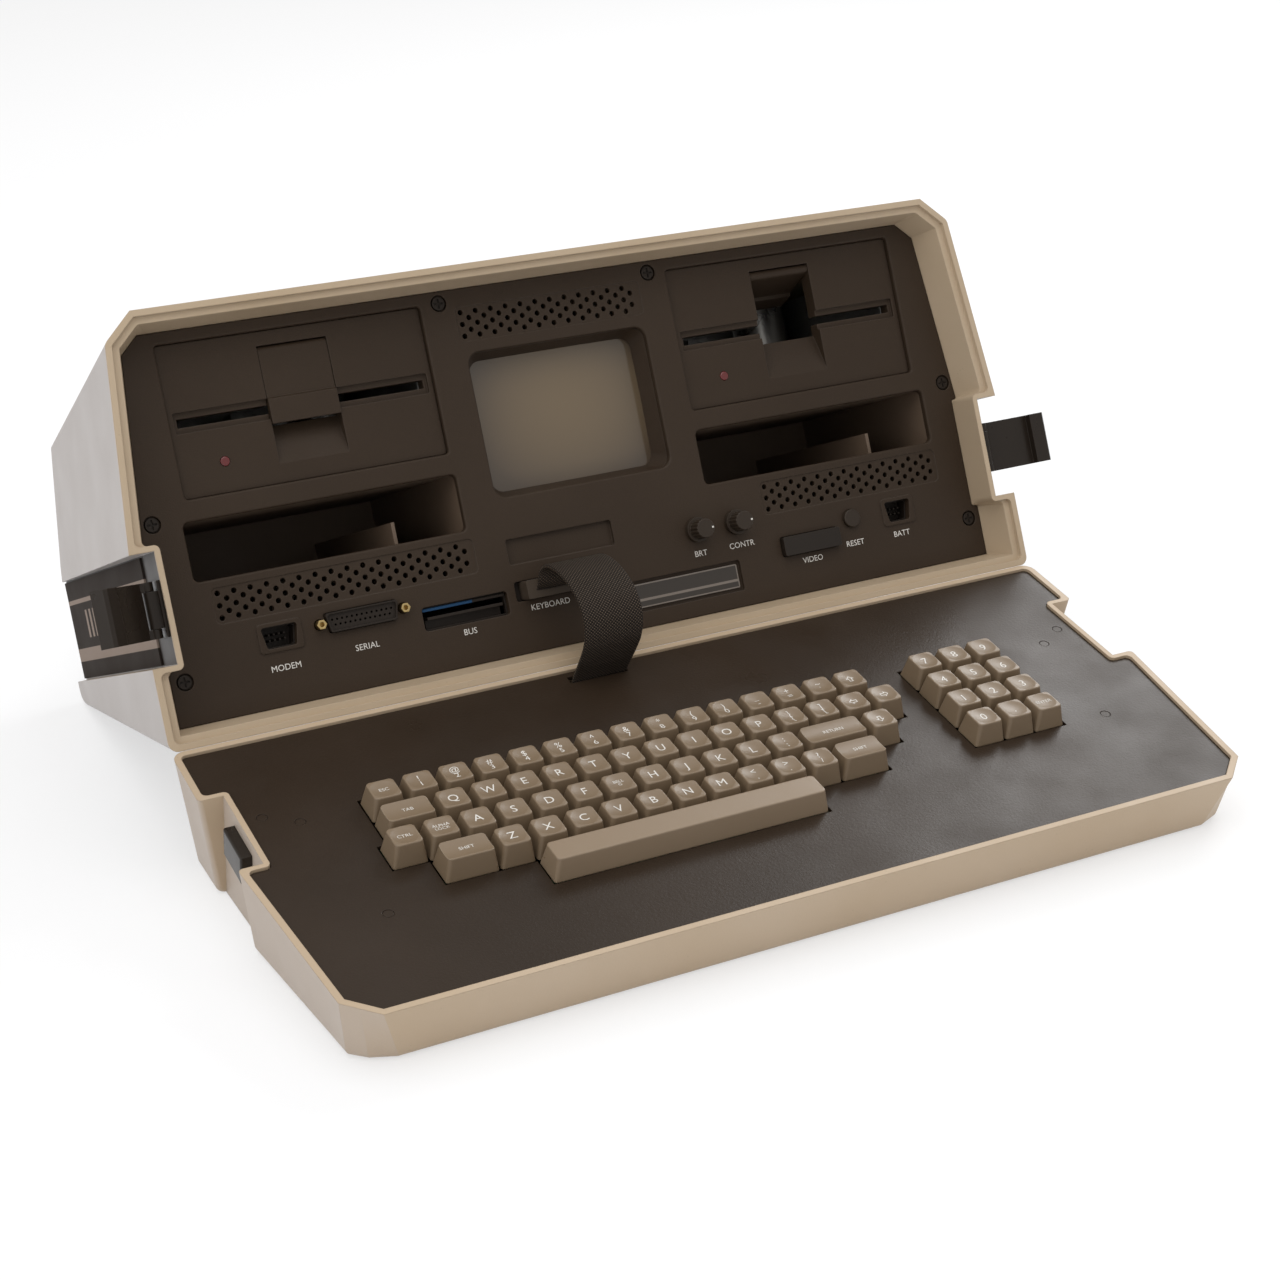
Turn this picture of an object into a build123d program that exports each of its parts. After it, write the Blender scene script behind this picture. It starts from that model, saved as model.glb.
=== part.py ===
from build123d import *
from math import acos, atan2, cos, degrees, hypot, pi, radians, sin, tan
import os

os.makedirs("parts", exist_ok=True)

# ---------------------------------------------------------------- driving dimensions, mm
# Keyboard case: a wedge, open at the top, whose rim plane rises to the rear.
rim_slope = 9.0            # degrees between the table and the keyboard case's rim plane
case_half_width = 261.0    # half width of both rims along their straight lower sides
straight_side = 100.0      # the sides start to lean in here, from the shared edge
case_half_high = 251.0     # half width where the corner chamfer starts
chamfer_start = 207.0
case_half_top = 235.5      # half width where the corner chamfer ends
rim_length = 221.5         # from the shared edge to the far edge of either rim
rim_corner = 7.0           # rounding of the rim corners at the shared edge
rim_gap = 0.3              # between the two rims when the keyboard is folded shut
groove_edge = 2.5          # rounding of the keyboard case's groove edges
groove_soft = 3.0          # rounding of the mouth's and the plate's corners beside the grooves
fold_y = 105.0             # the shared edge, behind the origin on the table
tray_front_height = 32.0   # front wall, measured square to the rim plane
tray_draft = 8.0           # degrees that the keyboard case's walls lean in
tray_wall = 3.5
tray_bottom_edge = 5.0     # rounding round the bottom
plate_sink = 1.5           # keyboard plate below the rim
plate_thick = 2.0
plate_inset = 3.6          # width of the rim round the plate
plate_ledge = 3.0          # shelf that carries the plate, its width and its thickness
fit = 0.3                  # clearance round a part set into an opening

# Display unit: side profile, as height up the panel and depth behind the rim.
heel_rise = 28.0
heel_depth = 228.0
heel_radius = 12.0
back_low_rise = 110.0
back_low_depth = 228.0
back_high_rise = 193.0
back_high_depth = 210.0
back_radius = 9.0
body_taper = 1.8           # degrees that the side walls lean in to the rear
wall = 4.0
body_edge = 5.0            # rounding of the long edges between side walls and profile

# Side grooves for the band and the latch, in both cases.
groove_half = 248.0
groove_low = 43.0
groove_high = 101.0
groove_low_rear = 42.0
groove_high_rear = 101.0
groove_skin = 3.0
band_thick = 1.2
band_start = 30.0          # behind the rim
band_seat = 0.02

# Mouth of the display unit: a land, a step, then the recessed panel on its ledge.
land_width = 3.4
land_depth = 2.5
step_width = 6.8
panel_inset = 9.8
side_inset = 2.5           # further inset of the recessed panel at its two sides
panel_depth = 22.0
panel_thick = 4.0
opening_edge = 1.2         # rounding of the panel's large openings
field_sink = 0.4           # ventilated fields below the panel's face
socket_frame = 2.0         # raised frame round the two small sockets, its width and height
socket_frame_height = 0.8
ledge_inset = 13.8
ledge_thick = 6.0
boss_r = 6.0
boss_length = 12.0

# Panel layout: u to the right of the centre line, v up from the shared edge.
screw_spots = [(-241.0, 115.0), (241.0, 115.0), (-241.0, 33.0), (241.0, 33.0), (-63.5, 205.0), (63.5, 205.0)]
screw_r = 1.6
screw_head_r = 3.6
screw_recess_r = 4.6
screw_recess = 2.5
drive_u = 148.0
drive_width = 147.0
drive_low = 124.5
drive_high = 205.0
bezel_sink = 3.0
bezel_thick = 10.0
door_width = 38.0
door_low = 156.0
door_high = 197.0
door_lip = 14.0            # height of the raised finger lip along the door's free edge
door_thick = 3.0
door_open = 72.0           # degrees that a door swings in
door_pin_r = 1.5
door_barrel_r = 2.6
slot_v = 164.0
slot_width = 137.0
slot_height = 4.6
slot_lead = 11.0           # height of the shallow channel that guides a disk into the slot
slot_lead_depth = 2.0
scoop_low = 135.0
scoop_depth = 9.0
lamp_side = 48.0
lamp_v = 141.0
lamp_r = 2.6
pocket_u = 149.5
pocket_width = 152.0
pocket_low = 82.0
pocket_high = 113.0
pocket_length = 144.0
pocket_wall = 2.0
divider_side = 38.0
divider_height = 12.0
divider_thick = 2.0
screen_u = 1.0
screen_v = 136.0
screen_width = 108.0
screen_height = 80.0
screen_corner = 7.0
glass_width = 99.0
glass_height = 73.0
glass_depth = 36.0
vent_low = 184.0
vent_left = -54.0
vent_right = 55.0
grille_low = 60.0
grille_left = (-217.0, -73.0)
grille_right = (108.0, 224.0)
grille_height = 16.0
hole_pitch = 8.9
hole_r = 1.5
hole_rows = 5
finger_recess = (-21.0, 66.0, 64.0, 14.0)     # u, v, width, height
name_recess = (44.0, 28.0, 82.0, 17.5)
recess_depth = 2.4
name_plate_thick = 1.2
knob_spots = [(62.0, 58.0), (87.0, 58.0)]
knob_r = 5.6
knob_skirt_r = 7.0
knob_length = 12.0
knob_flutes = 16
flute_r = 0.8
knob_shaft_r = 2.5
knob_lift = 0.5            # gap between knob and panel
running = 0.05             # radial clearance of a shaft that turns or slides in its bush
pot_r = 8.0
pot_length = 10.0
reset_u = 161.5
reset_v = 47.0
reset_r = 5.2
reset_travel = 2.0
serial_u = -141.5
serial_v = 48.0
serial_width = 41.0
serial_height = 10.5
jack_spacing = 47.04
jack_r = 2.7
jack_proud = 5.0           # jackscrews and shell in front of the panel
shell_proud = 3.0
serial_pitch = 2.77        # two staggered rows of 13 and 12 contacts
serial_row = 1.4
contact_r = 0.6
small_pitch = 2.8          # contacts of the two small connectors
small_row = 1.5
modem_spot = (-187.0, 46.5, 20.0, 11.5)
battery_spot = (193.5, 46.0, 17.5, 12.0)
bus_spot = (-83.0, 39.5, 50.0, 13.0)
socket_spot = (-26.0, 44.0, 54.0, 11.0)
video_spot = (132.0, 38.5, 38.0, 11.5)
video_proud = 4.0
plug_width = 46.0
plug_proud = 8.0
plug_seat = 0.4            # gap between a plug's shoulder and its socket
tongue_height = 5.5
socket_back = 38.0

# Boards and supply inside the display unit.
board_v = 28.4
board_thick = 1.6
board_back = 124.0
board_half = 225.0
standoff_r = 3.5
chip_depths = (72.0, 92.0, 112.0)
chips_in_row = 11
chip_pitch = 40.0
chip_width = 25.0
chip_height = 3.6
chip_length = 8.0
card_half_thick = 0.8      # edge connector's card
card_back = 60.0
board_behind = 3.0         # board's front edge behind the panel
supply_front = 130.0
supply_back = 202.0
supply_half = 60.0
supply_low = 34.0
supply_top = 84.0
supply_slots = 5
supply_slot_pitch = 7.0
supply_slot_height = 3.0
supply_slot_deep = 1.5
supply_margin = 12.0

# Disk drives.
frame_half = 73.0
frame_wall = 5.0
frame_top = 188.5
frame_length = 137.0
deck_low = 150.0
deck_thick = 5.0
shelf_thick = 1.5
hub_depth = 93.0
hub_r = 14.0
hub_height = 6.0
spindle_r = 4.0
flywheel_r = 45.0
flywheel_low = 136.0
flywheel_thick = 8.0
flywheel_ring = 27.0
flywheel_hole_r = 8.0
motor_side = 47.0
motor_depth = 147.5
motor_r = 17.0
motor_height = 34.0
pulley_r = 8.0
pulley_shaft_r = 2.0
belt_thick = 0.8
belt_height = 5.0
belt_gap = 0.1
rail_side = 12.0
rail_r = 2.5
rail_front = 112.0
rail_v = 162.5
carriage_depth = 142.0
carriage_length = 18.0

# Picture tube.
tube_edge = 2.5            # tube face beyond the visible glass, each side
tube_face_thick = 7.0
tube_neck_r = 11.0
tube_neck_front = 110.0
tube_back = 188.0
yoke_r = 28.0
yoke_length = 26.0
surround_wall = 6.0
clamp_thick = 2.0

# Latches: a lever on a bracket in each groove, hooking a keeper on the keyboard case.
latch_v = 72.0
latch_width = 29.0
latch_pin_u = 253.2
latch_pin_depth = 9.0
latch_pin_r = 1.5
latch_arm = 43.0
latch_thick = 4.4
latch_hook = 3.2           # how far the hook's lip stands in front of the pin
latch_clear = 0.4          # between the closed hook and its keeper
latch_knuckle = 19.0
latch_left_swung = 45.0    # degrees that the left latch is swung in from straight out
latch_barrel_r = 3.0
latch_near = 1.4           # lever's inner face behind the pin's middle
bracket_thick = 1.5
keeper_width = 26.0
keeper_near = 7.0          # nearest and farthest below the keyboard case's rim
keeper_far = 23.0
keeper_thick = 6.0

# Handle on the sloping back, mains inlet and switch below it.
handle_half = 95.0
handle_drop = 42.0
handle_pivot_share = 0.62  # height of the pivots up the sloping back
handle_r = 6.0
handle_arm = 9.0
handle_pin_r = 2.5
handle_stand_off = 13.0
ear_thick = 6.0
ear_base = 15.0            # half lengths of an ear at the case and at its pivot
ear_tip = 7.0
inlet_u = -26.0
inlet_width = 28.0
inlet_height = 22.0
inlet_deep = 22.0
blade_width = 2.0          # the three blades inside the inlet
blade_height = 5.0
blade_spacing = 7.0
housing_lip = 1.6          # flanges of inlet and switch
housing_deep = 12.0
rocker_axis_depth = 2.0
rocker_below = 4.0         # rocker's section: below its pin, at its two ends, at its middle
rocker_peak = 5.4
rocker_dip = 3.6
rocker_u = 24.0
rocker_width = 16.0
rocker_height = 12.0
rocker_swing = 12.0        # degrees between off and on
rocker_pin_r = 1.2
foot_r = 9.0
foot_height = 5.0
foot_spots = [(-225.0, 40.0), (225.0, 40.0), (-225.0, 165.0), (225.0, 165.0)]

# Keyboard.
key_pitch = 19.05
key_base = 18.2
key_top_height = 10.2      # key tops above the rim plane
key_bottom_drop = 2.2      # key skirts below the rim plane
key_draft = 9.0
key_corner = 1.6
key_top_corner = 2.4
dish_r = 26.0
dish_depth = 0.9
first_key_u = -178.6
first_row_y = -79.5
keypad_u = 135.8
key_clear = 1.0            # plate opening beyond the keys
switch_size = 14.0
switch_top = 8.5           # below the rim plane
key_board_top = 18.0
key_board_thick = 1.6
stem_r = 2.6
board_posts = [(u, y) for u in (-190.0, -95.0, 60.0, 178.0) for y in (-76.0, -180.0)]
key_board = (-200.0, 188.0, 62.0, 186.0)     # left, right, rear and front edges
header_y = -64.0           # cable header under the board
header_width = 38.0
header_depth = 9.0
header_height = 8.0
plate_screws = [(-236.0, -65.0), (-220.0, -75.0), (236.0, -65.0), (220.0, -75.0), (-207.0, -156.0), (210.0, -146.0)]
plate_head_r = 2.6

# Braided flat cable.
cable_u = -28.0
cable_width = 32.0
cable_thick = 2.4
cable_slot_y = -11.0
cable_slot = 6.0

# ---------------------------------------------------------------- frames worked out from the sizes
slope = radians(rim_slope)
fold_z = rim_length * sin(slope) + (tray_front_height + rim_gap / 2) * cos(slope)

# The display unit leans back until its rounded heel rests on the table.
to_front = Vector(-heel_rise, heel_depth).normalized()
to_back = Vector(back_low_rise - heel_rise, heel_depth - back_low_depth).normalized()
half_angle = radians(to_front.get_angle(to_back)) / 2
to_centre = (to_front + to_back).normalized() * (heel_radius / sin(half_angle))
heel_v = heel_rise + to_centre.X
heel_d = heel_depth - to_centre.Y + rim_gap / 2
heel_reach = hypot(heel_v, heel_d)
lean = acos((fold_z - heel_radius) / heel_reach) - atan2(heel_v, heel_d)
fold_angle = 180 + rim_slope - degrees(lean)

fold_point = Vector(0, fold_y, fold_z)
panel_up = Vector(0, cos(lean), sin(lean))
panel_out = Vector(0, -sin(lean), cos(lean))
keys_up = Vector(0, -sin(slope), cos(slope))
keys_rear = Vector(0, cos(slope), sin(slope))

FACE = Plane(origin=fold_point, x_dir=(1, 0, 0), z_dir=panel_out).offset(-rim_gap / 2)
SIDE = Plane(origin=FACE.origin, x_dir=panel_up, z_dir=(1, 0, 0))
TRAY = Plane(origin=fold_point, x_dir=(1, 0, 0), z_dir=keys_up).offset(-rim_gap / 2)
TRAY_DOWN = Plane(origin=TRAY.origin, x_dir=(1, 0, 0), z_dir=-keys_up)

floor_slope = heel_rise / heel_depth
roof_slope = (rim_length - back_high_rise) / back_high_depth
panel_back = panel_depth + panel_thick
ledge_back = panel_back + ledge_thick


def save(piece, name):
    """Label a finished piece and write it."""
    piece.part.label = name
    export_step(piece.part, f"parts/{name}.step")


def at_depth(depth):
    """Plane parallel to the display unit's rim, this far behind it."""
    return FACE.offset(-depth)


def block(u, v, width, height, front, back, corner=0.0):
    """Block in the display unit, between two depths behind the rim."""
    with BuildPart() as piece:
        with BuildSketch(at_depth(front)):
            with Locations((u, v)):
                if corner > 0:
                    RectangleRounded(width, height, corner)
                else:
                    Rectangle(width, height)
        extrude(amount=front - back)
    return piece.part


def span(u0, u1, v0, v1, front, back):
    """Block in the display unit, given by its corners."""
    return block((u0 + u1) / 2, (v0 + v1) / 2, u1 - u0, v1 - v0, front, back)


def rod(u, v, radius, front, back):
    """Round bar in the display unit, square to the panel."""
    with BuildPart() as piece:
        with BuildSketch(at_depth(front)):
            with Locations((u, v)):
                Circle(radius)
        extrude(amount=front - back)
    return piece.part


def column(u, depth, radius, low, high):
    """Round bar in the display unit, running up the panel."""
    plane = Plane(origin=SIDE.from_local_coords((low, -depth, u)), x_dir=(1, 0, 0), z_dir=panel_up)
    with BuildPart() as piece:
        with BuildSketch(plane):
            Circle(radius)
        extrude(amount=high - low)
    return piece.part


def across(v, depth, radius, u0, u1):
    """Round bar in the display unit, running across it."""
    with BuildPart() as piece:
        with BuildSketch(SIDE.offset(u0)):
            with Locations((v, -depth)):
                Circle(radius)
        extrude(amount=u1 - u0)
    return piece.part


def d_shape(plane, u, v, width, height, grow=0.0):
    """Outline of a D-shaped connector, its long side up."""
    half = width / 2 + grow
    tall = height / 2 + grow
    with BuildSketch(plane) as outline:
        with Locations((u, v)):
            Polygon((-half, tall), (half, tall), (half - 2, -tall), (2 - half, -tall), align=None)
        fillet(outline.vertices(), 1.5)
    return outline.sketch


def rim_outline(plane, inset=0.0, groove_inset=0.0, squeeze=0.0):
    """Outline of either rim, drawn in by inset and at its sides by squeeze; a groove inset cuts the grooves."""
    right = [
        (case_half_width - squeeze, 0),
        (case_half_width - squeeze, straight_side),
        (case_half_high - squeeze, chamfer_start),
        (case_half_top - squeeze, rim_length),
    ]
    left = [(-u, v) for u, v in reversed(right)]
    with BuildSketch(plane) as outline:
        Polygon(*right, *left, align=None)
        fillet(outline.vertices().group_by(Axis.Y)[0], rim_corner)
        if inset > 0:
            offset(amount=-inset, mode=Mode.REPLACE)
        if groove_inset > 0:
            for side in (-1, 1):
                reach = groove_half - groove_inset
                middle = (groove_low + groove_high) / 2
                with Locations((side * (reach + case_half_width) / 2 + side * 5, middle)):
                    Rectangle(
                        case_half_width - reach + 10,
                        groove_high - groove_low + 2 * groove_inset,
                        mode=Mode.SUBTRACT,
                    )
            groove_corners = outline.vertices().filter_by_position(Axis.Y, groove_low / 2, groove_high * 1.2)
            step = case_half_width - squeeze - inset - reach
            fillet(groove_corners, min(groove_soft, 0.35 * step))
    return outline.sketch


def body_section(depth, inset=0.0):
    """Section across the display unit, open-ended above and below where the side profile cuts it."""
    lean_in = depth * tan(radians(body_taper)) + inset
    drop = depth * roof_slope + inset * 0.4
    chamfer_u = case_half_high - case_half_top
    chamfer_v = rim_length - chamfer_start
    right = [
        (case_half_width - lean_in, -20),
        (case_half_width - lean_in, straight_side - drop),
        (case_half_high - lean_in, chamfer_start - drop),
        (case_half_high - lean_in - 2 * chamfer_u, chamfer_start - drop + 2 * chamfer_v),
    ]
    left = [(-u, v) for u, v in reversed(right)]
    with BuildSketch(at_depth(depth)) as section:
        Polygon(*right, *left, align=None)
    return section.sketch


def side_profile(inset=0.0):
    """Side profile of the display unit, drawn in by inset."""
    corners = [
        (-10 * floor_slope, 10),
        (heel_rise, -heel_depth),
        (back_low_rise, -back_low_depth),
        (back_high_rise, -back_high_depth),
        (rim_length + 10 * roof_slope, 10),
    ]
    radii = [heel_radius, back_radius, back_radius]
    with BuildSketch(SIDE) as profile:
        Polygon(*corners, align=None)
        for corner, radius in zip(corners[1:4], radii):
            fillet(profile.vertices().sort_by_distance(corner)[0], radius)
        if inset > 0:
            offset(amount=-inset, mode=Mode.REPLACE)
    return profile.sketch


def groove_cut(side, inner, grow=0.0):
    """Space of one side groove, from its inner face outwards."""
    with BuildPart() as cut:
        with BuildSketch(SIDE.offset(side * inner)):
            Polygon(
                (groove_low - grow, 20),
                (groove_high + grow, 20),
                (groove_high_rear + grow, -back_low_depth - 20),
                (groove_low_rear - grow, -back_low_depth - 20),
                align=None,
            )
        extrude(amount=side * (case_half_width + 20 - inner))
    return cut.part


REAR = Plane(
    origin=SIDE.from_local_coords(((heel_rise + back_low_rise) / 2, -(heel_depth + back_low_depth) / 2, 0)),
    x_dir=(1, 0, 0),
    z_dir=panel_up * (heel_depth - back_low_depth) + panel_out * (heel_rise - back_low_rise),
)
housing_width = rocker_width + 6
housing_height = rocker_height + 6


def rear_block(u, width, height, outer, inner, corner=0.0):
    """Block in the lower rear face, between two heights above its surface."""
    with BuildPart() as piece:
        with BuildSketch(REAR.offset(inner)):
            with Locations((u, 0)):
                if corner > 0:
                    RectangleRounded(width, height, corner)
                else:
                    Rectangle(width, height)
        extrude(amount=outer - inner)
    return piece.part


# Columns on the floor that carry the logic board and the power supply: u, depth, top.
standoffs = [(side * u, depth, board_v) for side in (-1, 1) for u in (70, 205) for depth in (42, 112)]
standoffs += [(side * 50, depth, supply_low) for side in (-1, 1) for depth in (140, 190)]

# ---------------------------------------------------------------- display unit: main case
back_plane_depth = back_low_depth + 10
full_reach = case_half_width + 20

with BuildPart() as case_block:
    loft([body_section(0), body_section(back_plane_depth)])
    extrude(side_profile(), amount=full_reach, both=True, mode=Mode.INTERSECT)
    long_edges = case_block.edges().filter_by(lambda e: abs(e.center().X) > case_half_top + 12)
    fillet(long_edges.filter_by(lambda e: FACE.to_local_coords(e.center()).Z < -1), body_edge)

with BuildPart() as case_space:
    loft([body_section(ledge_back, wall), body_section(back_plane_depth, wall)])
    extrude(side_profile(wall), amount=full_reach, both=True, mode=Mode.INTERSECT)
    for side in (-1, 1):
        add(groove_cut(side, groove_half - groove_skin, groove_skin), mode=Mode.SUBTRACT)

with BuildPart() as main_case:
    add(case_block.part)
    for side in (-1, 1):
        add(groove_cut(side, groove_half), mode=Mode.SUBTRACT)
    extrude(rim_outline(FACE, land_width, groove_skin), amount=-land_depth, mode=Mode.SUBTRACT)
    mouth_front = rim_outline(FACE, step_width, groove_skin)
    mouth_back = rim_outline(at_depth(panel_depth), panel_inset, groove_skin, side_inset)
    loft([mouth_front, mouth_back], mode=Mode.SUBTRACT)
    extrude(mouth_back, amount=-panel_thick, mode=Mode.SUBTRACT)
    ledge_opening = rim_outline(at_depth(panel_back), ledge_inset, groove_skin + 3, side_inset)
    extrude(ledge_opening, amount=-ledge_thick, mode=Mode.SUBTRACT)
    add(case_space.part, mode=Mode.SUBTRACT)
    for u, v in screw_spots:
        add(rod(u, v, boss_r, panel_back, panel_back + boss_length))
        add(rod(u, v, screw_r + 0.1, panel_back, panel_back + boss_length), mode=Mode.SUBTRACT)
    for u, depth, top in standoffs:
        add(column(u, depth, standoff_r, floor_slope * depth + wall / 2, top))
    add(rear_block(inlet_u, inlet_width + 2 * fit, inlet_height + 2 * fit, 1, -2 * wall), mode=Mode.SUBTRACT)
    add(rear_block(rocker_u, housing_width + 2 * fit, housing_height + 2 * fit, 1, -2 * wall), mode=Mode.SUBTRACT)
save(main_case, "main_case")


# ---------------------------------------------------------------- display unit: front panel
def hole_grid(left, right, low):
    """Staggered ventilation holes between two ends of a strip."""
    row_step = (grille_height - 2 * hole_r) / (hole_rows - 1)
    spots = []
    for row in range(hole_rows):
        u = left + hole_r + 0.5 + (row % 2) * hole_pitch / 2
        while u < right - hole_r:
            spots.append((u, low + hole_r + row * row_step))
            u += hole_pitch
    return spots


drive_middle = (drive_low + drive_high) / 2
pocket_middle = (pocket_low + pocket_high) / 2
sides = (-1, 1)

with BuildPart() as front_panel:
    outline = rim_outline(at_depth(panel_depth), panel_inset + fit, groove_skin + fit, side_inset)
    extrude(outline, amount=-panel_thick)
    for side in sides:
        opening = (drive_width, drive_high - drive_low, panel_depth, panel_back, 2.0)
        add(block(side * drive_u, drive_middle, *opening), mode=Mode.SUBTRACT)
        opening = (pocket_width, pocket_high - pocket_low, panel_depth, panel_back, 3.0)
        add(block(side * pocket_u, pocket_middle, *opening), mode=Mode.SUBTRACT)
    opening = (screen_width, screen_height, panel_depth, panel_back, screen_corner)
    add(block(screen_u, screen_v, *opening), mode=Mode.SUBTRACT)
    front_face = front_panel.faces().sort_by(Axis(FACE.origin, panel_out))[-1]
    fillet(ShapeList([edge for wire in front_face.inner_wires() for edge in wire.edges()]), opening_edge)
    for left, right, low in ((*grille_left, grille_low), (*grille_right, grille_low), (vent_left, vent_right, vent_low)):
        field = (right - left + 3, grille_height + 3, panel_depth, panel_depth + field_sink, 3.0)
        add(block((left + right) / 2, low + grille_height / 2, *field), mode=Mode.SUBTRACT)
    for u, v, width, height in (modem_spot, battery_spot):
        frame = (width + 2 * socket_frame, height + 2 * socket_frame)
        add(block(u, v, *frame, panel_depth - socket_frame_height, panel_depth, 2.0))
    for spot, corner in ((bus_spot, 2.0), (socket_spot, 1.5), (video_spot, 1.5)):
        add(block(*spot, panel_depth, panel_back, corner), mode=Mode.SUBTRACT)
    for spot in (modem_spot, battery_spot):
        extrude(d_shape(FACE, *spot), amount=-panel_back, mode=Mode.SUBTRACT)
    serial = d_shape(FACE, serial_u, serial_v, serial_width, serial_height, fit)
    extrude(serial, amount=-panel_back, mode=Mode.SUBTRACT)
    for spot in (finger_recess, name_recess):
        add(block(*spot, panel_depth, panel_depth + recess_depth, 1.5), mode=Mode.SUBTRACT)
    with BuildSketch(at_depth(panel_depth)):
        with Locations(*hole_grid(*grille_left, grille_low), *hole_grid(*grille_right, grille_low)):
            Circle(hole_r)
        with Locations(*hole_grid(vent_left, vent_right, vent_low)):
            Circle(hole_r)
    extrude(amount=-panel_thick, mode=Mode.SUBTRACT)
    for u, v in screw_spots:
        add(rod(u, v, screw_recess_r, panel_depth, panel_depth + screw_recess), mode=Mode.SUBTRACT)
        add(rod(u, v, screw_r + 0.2, panel_depth, panel_back), mode=Mode.SUBTRACT)
    for u, v in knob_spots:
        add(rod(u, v, knob_shaft_r + 0.5, panel_depth, panel_back), mode=Mode.SUBTRACT)
    add(rod(reset_u, reset_v, reset_r + running, panel_depth, panel_back), mode=Mode.SUBTRACT)
    for side in sides:
        jack_u = serial_u + side * jack_spacing / 2
        add(rod(jack_u, serial_v, jack_r + fit, panel_depth, panel_back), mode=Mode.SUBTRACT)
save(front_panel, "front_panel")

with BuildPart() as panel_screws:
    for u, v in screw_spots:
        seat = panel_depth + screw_recess
        add(rod(u, v, screw_head_r, seat - 2, seat))
        add(rod(u, v, screw_r, seat, panel_back + boss_length - 2))
        add(block(u, v, 1.0, 2 * screw_head_r - 2, seat - 2, seat - 1.2), mode=Mode.SUBTRACT)
        add(block(u, v, 2 * screw_head_r - 2, 1.0, seat - 2, seat - 1.2), mode=Mode.SUBTRACT)
save(panel_screws, "panel_screws")

with BuildPart() as name_plate:
    seat = panel_depth + recess_depth
    u, v, width, height = name_recess
    add(block(u, v, width - 4, height - 4, seat - name_plate_thick, seat, 0.8))
save(name_plate, "name_plate")

with BuildPart() as side_bands:
    for side in sides:
        strip = groove_cut(side, groove_half + band_seat, -1.0)
        skin = groove_cut(side, groove_half + band_seat + band_thick, 1.0)
        add(strip - skin)
    add(span(-full_reach, full_reach, 0, rim_length, -band_start, band_start), mode=Mode.SUBTRACT)
    extrude(side_profile(1.5), amount=full_reach, both=True, mode=Mode.INTERSECT)
save(side_bands, "side_bands")

# ---------------------------------------------------------------- disk drives
bezel_front = panel_depth + bezel_sink
bezel_back = bezel_front + bezel_thick
pivot_v = door_high - door_barrel_r
pivot_depth = bezel_front + door_barrel_r + 0.3


def drive_bezel(middle):
    """Moulded front of one drive, with its door opening, disk slot, finger scoop and lamp hole."""
    with BuildPart() as bezel:
        height = drive_high - drive_low - 2 * fit
        add(block(middle, drive_middle, drive_width - 2 * fit, height, bezel_front, bezel_back, 1.7))
        lead = (slot_width + 4, slot_lead, bezel_front, bezel_front + slot_lead_depth, 1.0)
        add(block(middle, slot_v, *lead), mode=Mode.SUBTRACT)
        add(block(middle, slot_v, slot_width, slot_height, bezel_front, bezel_back), mode=Mode.SUBTRACT)
        half = door_width / 2 + fit
        opening = (middle - half, middle + half, door_low - fit, door_high + fit, bezel_front, bezel_back)
        add(span(*opening), mode=Mode.SUBTRACT)
        with BuildSketch(SIDE.offset(middle - half)):
            Polygon(
                (scoop_low, -bezel_front),
                (door_low, -bezel_front - scoop_depth),
                (door_low, -bezel_front + 1),
                (scoop_low, -bezel_front + 1),
                align=None,
            )
        extrude(amount=2 * half, mode=Mode.SUBTRACT)
        lamp_u = middle - lamp_side
        add(rod(lamp_u, lamp_v, lamp_r + 0.1, bezel_front, bezel_back), mode=Mode.SUBTRACT)
        pin = across(pivot_v, pivot_depth, door_pin_r, middle - half - 4, middle + half + 4)
        add(pin, mode=Mode.SUBTRACT)
    return bezel


def drive_door(middle, swing):
    """Flap on its barrel, swung in by so many degrees."""
    with BuildPart() as door:
        with BuildSketch(SIDE.offset(middle - door_width / 2)):
            with Locations((pivot_v, -pivot_depth)):
                Circle(door_barrel_r)
            face = -pivot_depth + door_barrel_r
            Polygon(
                (pivot_v, face),
                (door_low + door_lip, face),
                (door_low + door_lip - 1, face + 1.6),
                (door_low, face + 1.6),
                (door_low, face - door_thick + 1.0),
                (door_low + door_lip, face - door_thick),
                (pivot_v, face - door_thick),
                align=None,
            )
        extrude(amount=door_width)
        bore = across(pivot_v, pivot_depth, door_pin_r + running, middle - door_width, middle + door_width)
        add(bore, mode=Mode.SUBTRACT)
    hinge_line = Axis(SIDE.from_local_coords((pivot_v, -pivot_depth, 0)), (1, 0, 0))
    door.part = door.part.rotate(hinge_line, swing)
    return door


with BuildPart() as drive_bezels:
    for side in sides:
        add(drive_bezel(side * drive_u).part)
save(drive_bezels, "drive_bezels")

save(drive_door(-drive_u, 0), "drive_door_left")
save(drive_door(drive_u, door_open), "drive_door_right")

with BuildPart() as door_pins:
    for side in sides:
        half = door_width / 2 + fit + 3.5
        add(across(pivot_v, pivot_depth, door_pin_r, side * drive_u - half, side * drive_u + half))
save(door_pins, "door_pins")

with BuildPart() as drive_lamps:
    for side in sides:
        lamp_u = side * drive_u - lamp_side
        add(rod(lamp_u, lamp_v, lamp_r, bezel_front - 0.6, bezel_back - 2))
    fillet(drive_lamps.edges().group_by(Axis(FACE.origin, panel_out))[-1], 0.8)
save(drive_lamps, "drive_lamps")

frame_front = bezel_back
frame_back = frame_front + frame_length
frame_low = drive_low


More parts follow.
